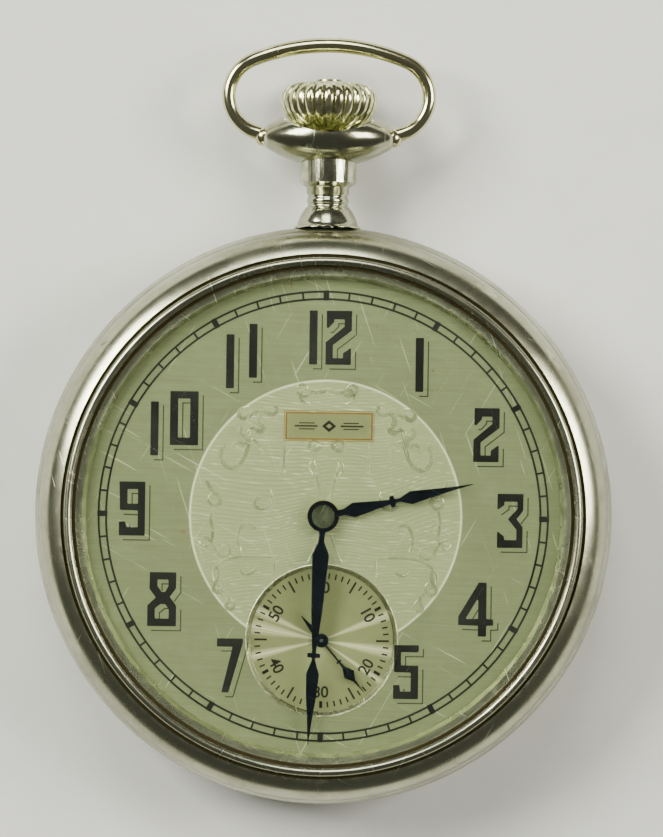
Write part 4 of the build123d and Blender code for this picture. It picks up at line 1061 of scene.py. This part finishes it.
BAR = Glyph(((0, 0), (3.1, 0), (3.1, 22), (0, 22)))
GLYPHS = {
    "1": BAR,
    "2": Glyph(((0.3, 22), (10, 22), (10, 14), (2.8, 8), (2.8, 2.7), (6.7, 2.7), (6.7, 4.7), (9.8, 7.1),
                (9.8, 0), (0, 0), (0, 9.1), (7.2, 15.6), (7.2, 18.5), (3.2, 18.5), (3.2, 17.4), (1.1, 15),
                (0.3, 15))),
    "3": Glyph(((0, 22), (10, 22), (10, 15.3), (7.5, 11.7), (9.8, 8.5), (9.8, 0), (0, 0), (0, 6.8),
                (2.6, 4.7), (2.8, 3.2), (7.4, 3.2), (7.4, 7.4), (4.1, 11.7), (7.7, 15.9), (7.7, 18.8), (2.7, 18.8),
                (2.7, 17.4), (0, 15.3))),
    "4": Glyph(((7.6, 22), (10.8, 22), (10.8, 7.2), (13.5, 7), (13.5, 4.5), (10.8, 4.4), (10.8, 0), (7.6, 0),
                (7.6, 4.4), (0, 4.6), (0, 8.1), (7.2, 21)), (((7.6, 15.8), (7.6, 7.2), (2.8, 7.1)),)),
    "5": Glyph(((0.2, 22), (9.7, 22), (9.7, 19.1), (2.9, 19.1), (2.9, 13.7), (9.6, 13.7), (9.6, 0), (0, 0),
                (0, 5.7), (2.4, 5.7), (2.7, 3.1), (6.7, 3.1), (6.7, 10.8), (0.3, 10.9))),
    "7": Glyph(((0, 22), (10, 22), (10, 20.3), (4.6, 0), (1.9, 0), (6, 18.6), (0, 18.6))),
    "8": Glyph(((0.8, 22), (11, 22), (11, 15.5), (8.6, 12), (11.1, 8.4), (11.1, 0), (0, 0), (0, 8.4),
                (3.2, 11.7), (0.7, 15.2)),
               (((3.8, 19), (8, 19), (8, 16.4), (6.8, 14), (5.4, 14), (3.8, 16.4)),
                ((2.9, 7.2), (5, 9), (6.8, 9), (8.2, 7), (8.2, 3.1), (2.9, 3.1)))),
    "9": Glyph(((0, 22), (10, 22), (10, 0), (0, 0), (0, 5.7), (2.4, 5.7), (3, 3.4), (7.2, 3.4), (7.2, 10.2),
                (0.3, 10.4)), (((3.2, 18.9), (7.2, 18.9), (7.2, 13), (3.2, 13)),)),
    "0": Glyph(((0, 0), (10.9, 0), (10.9, 22), (0, 22)), (((3.1, 3.1), (7.7, 3.1), (7.7, 19), (3.1, 19)),)),
}
GLYPH_W, GLYPH_H, GLYPH_MIDDLE = 0.2264, 0.2138, 11
NUMERALS = (
    ("1", -1.07, 15.55), ("2", 1.13, 15.55), ("1", 8.2, 13.29), ("2", 14.1, 7.26), ("3", 16.27, -0.17),
    ("4", 13.39, -7.92), ("5", 7.38, -13.45), ("7", -7.96, -13.08), ("8", -13.94, -7.4), ("9", -16.64, 0.45),
    ("1", -14.78, 7.45), ("0", -12.21, 8.37), ("1", -8.28, 13.38), ("1", -6.29, 14.32),
)


@dataclass
class Dial:
    """The dial plate, all that is printed and cut on it, and the sunk seconds dial."""

    radius: float = 21.2
    hole_r: float = 1.4
    opening_low: float = 6.25
    opening_high: float = 6.6
    track_out: float = 19.55
    track_in: float = 18.9
    track_half: float = 0.09
    shadow: Point = (0.40, -0.38)
    shadow_w: float = 0.11
    least_facing: float = 0.12
    least_side: float = 0.15
    corner_r: float = 0.07
    disc_x: float = 0.2
    panel_at: Point = (0.4, 7.85)
    panel_half: Point = (3.8, 1.2)
    number_size: float = 1.42
    number_r: float = 4.55

    def lay(self, name: str, bm: bmesh.types.BMesh, finish: str, *nodes: str, merge: float = 0.0004) -> None:
        """Makes a piece of the dial and rides it on the case.

        Args:
            name: the piece's name.
            bm: its mesh, in millimetres.
            finish: its finish.
            nodes: the CAD nodes that it replaces.
            merge: how near points are joined, in millimetres.
        """
        settle(to_piece(name, bm, finish, merge), "case", "dial_silver", *nodes)

    def placed(self, glyph: Glyph, x: float, y: float) -> list[list[Point]]:
        """A glyph's outline and openings, at their size and centred on a point."""
        wide = max(p[0] for p in glyph.outline)
        return [[(x + (px - wide / 2) * GLYPH_W, y + (py - GLYPH_MIDDLE) * GLYPH_H) for px, py in loop]
                for loop in (glyph.outline, *glyph.counters)]

    def build_plate(self) -> None:
        """The silvered plate with its centre hole and the bevelled seconds opening."""
        bm = bmesh.new()
        rim, hole = ring_loop(self.radius, 256), ring_loop(self.hole_r, 64)
        high, low = (ring_loop(r, 128, SECONDS_AT) for r in (self.opening_high, self.opening_low))
        levels = ((DIAL_TOP, high), (SECONDS_TOP, low))
        for z, opening in levels:
            pour(filled((rim, hole, opening), z), bm)
        for top, bottom in ((rim, rim), (hole, hole), (high, low)):
            a = [bm.verts.new((x, y, DIAL_TOP)) for x, y in top]
            b = [bm.verts.new((x, y, SECONDS_TOP)) for x, y in bottom]
            for i in range(len(a)):
                bm.faces.new((a[i - 1], a[i], b[i], b[i - 1]))
        self.lay("dial_plate", bm, "dial", "dial")
        wall = [(6.22, SECONDS_TOP + 0.01), (6.26, SECONDS_TOP + 0.02), (6.42, SECONDS_TOP + 0.24),
                (6.56, DIAL_TOP), (6.61, DIAL_TOP + 0.015), (6.65, DIAL_TOP + 0.002), (6.6, DIAL_TOP - 0.05)]
        self.lay("seconds_rim", lathe(wall, 160, SECONDS_AT), "bezel")

    def build_seconds_dial(self) -> None:
        """The sunk dial, brushed out from its centre."""
        profile = [(0.35, 9.0), (6.9, 9.0), (6.9, SECONDS_TOP), (0.5, SECONDS_TOP),
                   (0.35, SECONDS_TOP - 0.05)]
        self.lay("seconds_plate", lathe(profile, 128, SECONDS_AT), "seconds", "seconds_dial")

    def shadow_strips(self, glyph: Glyph, x: float, y: float) -> list[list[Point]]:
        """Thin lines beside each edge of a glyph that faces right or down."""
        move, half = Vector(self.shadow), self.shadow_w / 2
        strips = []
        for number, loop in enumerate(self.placed(glyph, x, y)):
            points = [Vector(p) for p in loop]
            sides = list(zip(points, points[1:] + points[:1]))
            area = sum(a.x * b.y - b.x * a.y for a, b in sides)
            turn = 1 if (area > 0) == (number == 0) else -1
            for a, b in sides:
                along = (b - a).normalized()
                out = Vector((along.y, -along.x)) * turn
                if out.dot(move) < self.least_facing or (b - a).length < self.least_side:
                    continue
                start, end = a + move - along * half, b + move + along * half
                strips.append([tuple(start - out * half), tuple(end - out * half), tuple(end + out * half),
                               tuple(start + out * half)])
        return strips

    def build_numerals(self) -> None:
        """The black numerals and the thin shadow line beside each."""
        ink, shade = bmesh.new(), bmesh.new()
        for name, x, y in NUMERALS:
            loops = [rounded(loop, self.corner_r, 3) for loop in self.placed(GLYPHS[name], x, y)]
            slab(loops, DIAL_TOP, DIAL_TOP + INK_T, ink)
            for strip in self.shadow_strips(GLYPHS[name], x, y):
                slab([strip], DIAL_TOP, DIAL_TOP + INK_T * 0.6, shade)
        self.lay("dial_numerals", ink, "ink")
        self.lay("numeral_shadows", shade, "shadow_ink", merge=0.0)

    def build_track(self) -> None:
        """The minute track: two lines, a tick for each minute and a block for each five."""
        bm = bmesh.new()
        for radius in (self.track_out, self.track_in):
            edges = [ring_loop(radius + side * self.track_half, 240) for side in (1, -1)]
            slab(edges, DIAL_TOP, DIAL_TOP + INK_T, bm)
        self.lay("minute_track", bm, "ink")
        middle, length = (self.track_out + self.track_in) / 2, self.track_out - self.track_in
        for name, longer, width, thick, count in (("minute_ticks", 0.0, 0.18, 0.9, 60),
                                                  ("five_minute_blocks", 0.24, 0.5, 1.1, 12)):
            mark = box_shape(length + longer, width, DIAL_TOP, DIAL_TOP + INK_T * thick)
            settle(RING.make(name, mark, "ink", count, middle), "case", "dial_silver")

    def build_seconds_marks(self) -> None:
        """The seconds track and its numbers, set in a plain serif-like hand."""
        low, high = SECONDS_TOP, SECONDS_TOP + INK_T
        place = Matrix.Translation((SECONDS_AT[0] * MM, SECONDS_AT[1] * MM, 0))
        for name, length, width, count, middle, start in (
            ("second_ticks", 0.5, 0.14, 60, 5.62, 0.0), ("five_second_ticks", 1.1, 0.17, 6, 5.3, 0.0),
            ("ten_second_ticks", 0.6, 0.27, 6, 5.6, pi / 6),
        ):
            piece = RING.make(name, box_shape(length, width, low, high), "ink", count, middle, start)
            place_mesh(piece, place)
            settle(piece, "case", "dial_silver")
        bm = bmesh.new()
        for number in range(10, 61, 10):
            way = Way.IN if 15 < number < 45 else Way.OUT
            angle = pi / 2 - FULL_TURN * number / 60
            curve = bpy.data.curves.new("second_number", "FONT")
            curve.body, curve.size = str(number), self.number_size
            curve.align_x, curve.align_y = "CENTER", "CENTER"
            curve.space_character, curve.resolution_u = 0.92, 3
            curve.extrude, curve.offset = INK_T / 2, 0.022
            letter = stand("second_number", curve)
            bpy.context.view_layer.update()
            graph = bpy.context.evaluated_depsgraph_get()
            mesh = bpy.data.meshes.new_from_object(letter.evaluated_get(graph))
            bpy.data.objects.remove(letter)
            at = (SECONDS_AT[0] + self.number_r * cos(angle), SECONDS_AT[1] + self.number_r * sin(angle),
                  SECONDS_TOP + INK_T / 2)
            mesh.transform(Matrix.Translation(at) @ Matrix.Rotation(angle - pi / 2 + way.value, 4, "Z"))
            bm.from_mesh(mesh)
            bpy.data.meshes.remove(mesh)
        self.lay("second_numbers", bm, "ink")

    def build_cartouche(self) -> None:
        """A bordered panel above the centre, filled with a plain diamond and bars."""
        x, y = self.panel_at

        def panel(grow: float) -> list[Point]:
            """The panel's outline, larger by a margin."""
            a, b = self.panel_half[0] + grow, self.panel_half[1] + grow
            return [(x - a, y - b), (x + a, y - b), (x + a, y + b), (x - a, y + b)]
        self.lay("cartouche_panel", slab([panel(-0.02)], DIAL_TOP + 0.004, DIAL_TOP + 0.018), "seconds")
        border = slab([panel(0.0), panel(-0.14)], DIAL_TOP + 0.006, DIAL_TOP + 0.03)
        slab([panel(0.13), panel(0.08)], DIAL_TOP + 0.006, DIAL_TOP + 0.026, border)
        self.lay("cartouche_border", border, "gold_ink")
        low, high = DIAL_TOP + 0.016, DIAL_TOP + 0.03
        mark = slab([[(x, y - 0.52), (x + 0.62, y), (x, y + 0.52), (x - 0.62, y)],
                     [(x, y - 0.22), (x + 0.27, y), (x, y + 0.22), (x - 0.27, y)]], low, high)
        for side in (-1, 1):
            for near, far, half, rise in ((1.0, 3.0, 0.07, 0.0), (1.25, 2.6, 0.05, 0.26),
                                          (1.25, 2.6, 0.05, -0.26)):
                a, b = sorted((x + side * near, x + side * far))
                under, over = y + rise - half, y + rise + half
                slab([[(a, under), (b, under), (b, over), (a, over)]], low, high, mark)
        self.lay("cartouche_mark", mark, "ink", merge=0.0)

    def ribbon(self, start: Point, heading: float, bends: list[Point], width: float) -> list[Point]:
        """A tapering ribbon's outline along a path of changing curvature.

        Args:
            start: where it begins.
            heading: its first direction, in degrees.
            bends: (length, degrees turned over it) stretches, eased into one another.
            width: its greatest width.

        Returns:
            The outline.
        """
        x, y, angle = start[0], start[1], radians(heading)
        total = sum(length for length, _ in bends)
        done, left, right = 0.0, [], []
        for length, turned in bends:
            steps = max(4, int(abs(turned) / 11) + int(length / 0.35))
            for _ in range(steps):
                share = done / total
                half = width / 2 * (0.35 + 0.65 * sin(pi * min(1.0, 0.12 + share)) ** 0.5)
                left.append((x - half * sin(angle), y + half * cos(angle)))
                right.append((x + half * sin(angle), y - half * cos(angle)))
                x += length / steps * cos(angle)
                y += length / steps * sin(angle)
                angle += radians(turned) / steps
                done += length / steps
        left.append((x, y))
        return left + right[::-1]

    def build_scrolls(self) -> None:
        """The scrolls, leaves and rays engraved across the middle of the dial, the same on both sides."""
        scrolls = [
            ((0.0, 11.0), -25, [(1.6, 50), (1.4, -150), (1.0, -80)], 0.42),
            ((1.3, 10.9), -60, [(1.2, 90), (1.0, 120), (0.9, 120)], 0.4),
            ((0.4, 6.4), -80, [(0.9, 70), (1.5, 190), (1.0, 160)], 0.42),
            ((3.6, 6.4), -85, [(2.4, -8), (0.6, -40)], 0.26),
            ((4.6, 9.6), -150, [(1.2, 170), (2.2, -60), (1.4, 190), (1.0, 60)], 0.5),
            ((5.6, 8.9), -30, [(1.2, -120), (1.1, 200), (1.2, -160)], 0.55),
            ((7.4, 7.7), -40, [(1.1, -130), (1.1, 200), (1.3, -160)], 0.6),
            ((8.9, 6.1), -60, [(1.6, -60), (1.6, -110), (1.8, -30), (2.2, 8)], 0.45),
            ((5.6, 5.3), 80, [(1.3, -40), (0.9, -90)], 0.26),
            ((7.0, 5.0), 60, [(0.9, 60), (0.7, 100)], 0.24),
            ((10.4, 3.0), -110, [(1.6, -40), (1.7, 190), (1.2, 120)], 0.4),
            ((9.8, 0.6), -75, [(1.8, -30), (1.5, 60), (1.1, 140)], 0.36),
            ((5.6, 1.5), 20, [(1.3, -170), (1.6, -110), (1.2, -40)], 0.34),
            ((6.1, -1.2), 75, [(1.5, -130), (1.8, -60), (0.8, 20)], 0.34),
            ((10.6, -1.9), -160, [(1.7, 60), (1.6, -150), (1.2, -150)], 0.38),
            ((4.6, -3.6), 4, [(2.6, -8), (2.4, -40), (1.3, -70), (1.0, -60)], 0.3),
            ((9.4, -4.6), -110, [(1.5, 60), (1.2, -170), (1.3, -120)], 0.42),
            ((8.7, -6.6), -150, [(1.2, 100), (1.1, -190), (1.0, -100)], 0.4),
            ((4.4, -3.8), -88, [(1.8, 4)], 0.22),
            ((6.0, -4.6), -60, [(1.0, 60), (0.8, 90)], 0.24),
            ((0.4, 1.7), 76, [(1.7, 0), (1.9, 14)], 0.26),
            ((1.2, 3.6), 55, [(0.9, 50), (0.6, 60)], 0.2),
            ((0.5, -1.7), -72, [(1.9, 8), (0.9, 20)], 0.24),
        ]
        bm = bmesh.new()
        for side in (-1, 1):
            for start, heading, bends, width in scrolls:
                outline = self.ribbon(start, heading, bends, width)
                self.relief(bm, [(self.disc_x + side * x, y) for x, y in outline])
        self.lay("dial_scrolls", bm, "ribbon", merge=0.0)

    def relief(self, bm: bmesh.types.BMesh, outline: list[Point]) -> None:
        """Adds one low ribbon with sloped sides, a strip of quads along its outline's two halves."""
        count = (len(outline) - 1) // 2
        left, tip, right = outline[:count], outline[count], outline[count + 1:][::-1]
        rows = []
        for a, b in zip(left, right):
            inner = [Vector(a).lerp(Vector(b), share) for share in (0.3, 0.7)]
            section = ((a, -0.005), (inner[0], 0.02), (inner[1], 0.02), (b, -0.005))
            rows.append([bm.verts.new((*at, DIAL_TOP + rise)) for at, rise in section])
        skin(bm, rows, ends=(0,))
        point = bm.verts.new((*tip, DIAL_TOP - 0.003))
        for k in range(4):
            bm.faces.new((rows[-1][k], rows[-1][(k + 1) % 4], point))

    def build(self) -> None:
        """Builds and dresses the dial and everything on it."""
        self.build_plate()
        self.build_seconds_dial()
        self.build_numerals()
        self.build_track()
        self.build_seconds_marks()
        self.build_cartouche()
        self.build_scrolls()


# ---- hands -------------------------------------------------------------------------------------
@dataclass
class Hand:
    """A blued hand with bevelled edges and its hub."""

    name: str
    node: str
    body: str
    blades: tuple
    low: float
    hub_r: float
    bore_r: float
    clockwise: float
    at: Point = (0.0, 0.0)
    thick: float = 0.16

    def blade(self, bm: bmesh.types.BMesh, stations: tuple) -> None:
        """Adds one bevelled blade from (distance, half width) stations."""
        rows = []
        for distance, half in stations:
            inset = min(0.07, half * 0.45)
            edge, top = self.low + self.thick * 0.55, self.low + self.thick
            section = ((-half, self.low), (-half, edge), (-half + inset, top), (half - inset, top),
                       (half, edge), (half, self.low))
            rows.append([bm.verts.new((x, distance, z)) for x, z in section])
        skin(bm, rows)

    def build(self) -> None:
        """The hand, turned to its place on the dial."""
        bm = bmesh.new()
        for stations in self.blades:
            self.blade(bm, stations)
        high, soft = self.low + self.thick, 0.04
        lathe([(self.bore_r, self.low), (self.hub_r, self.low), (self.hub_r, high - soft),
               (self.hub_r - soft, high), (self.bore_r + soft, high), (self.bore_r, high - soft)],
              72, bm=bm)
        place = Matrix.Translation((*self.at, 0)) @ Matrix.Rotation(-radians(self.clockwise), 4, "Z")
        bmesh.ops.transform(bm, matrix=place, verts=bm.verts)
        settle(to_piece(self.name, bm, "blued"), self.body, "blued_steel", self.node)


HANDS = (
    Hand("hour_pointer", "hour_hand", "hour",
         (((1.27, 0.28), (1.85, 0.26), (2.72, 0.65), (5.9, 0.21), (5.97, 0.5), (6.33, 0.5), (6.4, 0.165),
           (6.85, 0.165), (7.8, 0.575), (11.4, 0.17), (13.3, 0.03)),), 10.1, 1.35, 1.2, 77.1),
    Hand("minute_pointer", "minute_hand", "centre",
         (((1.2, 0.3), (2.19, 0.25), (3.31, 0.75), (8.42, 0.47), (9.97, 0.33), (11.52, 0.18), (11.85, 0.18),
           (11.9, 0.56), (12.25, 0.56), (12.3, 0.15), (12.5, 0.15), (13.7, 0.565), (15.63, 0.45),
           (17.3, 0.25), (19.85, 0.03)),), 10.6, 1.35, 1.0, 183.1),
    Hand("seconds_pointer", "seconds_hand", "fourth",
         (((0.3, 0.09), (2.28, 0.09), (2.3, 0.25), (2.46, 0.25), (2.48, 0.09), (3.0, 0.12), (3.8, 0.53),
           (4.5, 0.12), (5.77, 0.03)), ((-2.77, 0.03), (-1.2, 0.25), (-0.5, 0.12))),
         9.68, 0.61, 0.16, 139.9, SECONDS_AT),
)


# ---- movement ----------------------------------------------------------------------------------
@dataclass
class Movement:
    """The CAD nodes inside the case, which keep their meshes and take a finish each."""

    def dress(self) -> None:
        """Gives every carried-over node its finish."""
        finishes = {
            "plate": ("pillar_plate", "barrel_bridge", "train_bridge", "balance_cock", "pallet_bridge"),
            "brass": ("barrel_drum", "barrel_cover", "centre_wheel", "third_wheel", "fourth_wheel",
                      "balance_screws", "balance_wheel", "hour_wheel", "minute_wheel", "hairspring_stud",
                      "pendant_sleeve"),
            "ruby": ("train_jewels", "pallet_stones"),
            "blued": ("hairspring", "click_spring", "bridge_screws", "case_screws", "lever_screws"),
            "hub": ("cannon_pinion",),
        }
        chosen = {node: finish for finish, nodes in finishes.items() for node in nodes}
        for name, node in frame["nodes"].items():
            node.data.materials.clear()
            node.data.materials.append(MATERIALS[chosen.get(name, "steel")])


# ---- studio ------------------------------------------------------------------------------------
@dataclass
class Studio:
    """The pale floor, the soft lamps and the camera above the dial."""

    aim: Point = (0.6, 8.54)
    view_height: float = 73.3
    distance: float = 400.0
    watch_half: float = 8.0
    roll: float = 0.8
    sensor: float = 36.0
    floor_reach: float = 1500.0
    floor_z: float = -0.02
    floor_cells: int = 8
    sky: Colour = (196, 198, 190)
    sky_strength: float = 0.17
    lamps: tuple = (
        ("soft_left", (-420, 260, 420), 300, 6.6, (255, 255, 244)),
        ("soft_right", (460, 120, 380), 260, 3.6, (255, 252, 240)),
        ("soft_top", (-60, 520, 560), 320, 2.6, (252, 255, 250)),
    )

    def build_floor(self) -> None:
        """A wide pale surface under the back."""
        bm = bmesh.new()
        half, steps = self.floor_cells / 2, range(self.floor_cells + 1)
        rows = [[bm.verts.new((self.floor_reach * (i / half - 1), self.floor_reach * (j / half - 1),
                               self.floor_z)) for i in steps] for j in steps]
        for low, high in zip(rows, rows[1:]):
            for i in range(self.floor_cells):
                bm.faces.new((low[i], low[i + 1], high[i + 1], high[i]))
        material = InkFinish("pale_paper", (222, 222, 218), (214, 214, 210), (0.7, 0.9)).build()
        floor = to_piece("floor", bm, "ink")
        floor.data.materials[0] = material

    def lamp(self, name: str, at: tuple[float, float, float], size: float, power: float,
             colour: Colour) -> None:
        """A square soft lamp aimed at the watch.

        Args:
            name: the lamp's name.
            at: where it hangs, in millimetres.
            size: its side, in millimetres.
            power: its power in watts.
            colour: its colour, sRGB 0-255.
        """
        data = bpy.data.lights.new(name, "AREA")
        data.size, data.energy, data.color = size * MM, power, rgba(colour)[:3]
        lamp = stand(name, data)
        lamp.location = [c * MM for c in at]
        lamp.rotation_euler = (-Vector(at)).to_track_quat("-Z", "Y").to_euler()

    def build(self) -> None:
        """Floor, lamps, background and camera."""
        self.build_floor()
        world = bpy.data.worlds.new("studio")
        world.use_nodes = True
        background = world.node_tree.nodes["Background"]
        background.inputs[0].default_value = rgba(self.sky)
        background.inputs[1].default_value = self.sky_strength
        bpy.context.scene.world = world
        for lamp in self.lamps:
            self.lamp(*lamp)
        data = bpy.data.cameras.new("camera")
        data.sensor_fit = "VERTICAL"
        data.sensor_height = self.sensor
        data.lens = self.sensor * self.distance / self.view_height
        data.clip_start, data.clip_end = 0.01, 10.0
        camera = stand("camera", data)
        camera.location = (self.aim[0] * MM, self.aim[1] * MM, (self.distance + self.watch_half) * MM)
        camera.rotation_euler = (0, 0, radians(self.roll))
        bpy.context.scene.camera = camera


def main() -> None:
    """Builds the watch from its case inwards and then the studio round it."""
    logging.basicConfig(level=logging.INFO, format="%(name)s: %(message)s")
    Movement().dress()
    Case().build()
    Pendant().build()
    Dial().build()
    for hand in HANDS:
        hand.build()
    Studio().build()


if __name__ == "__main__":
    main()
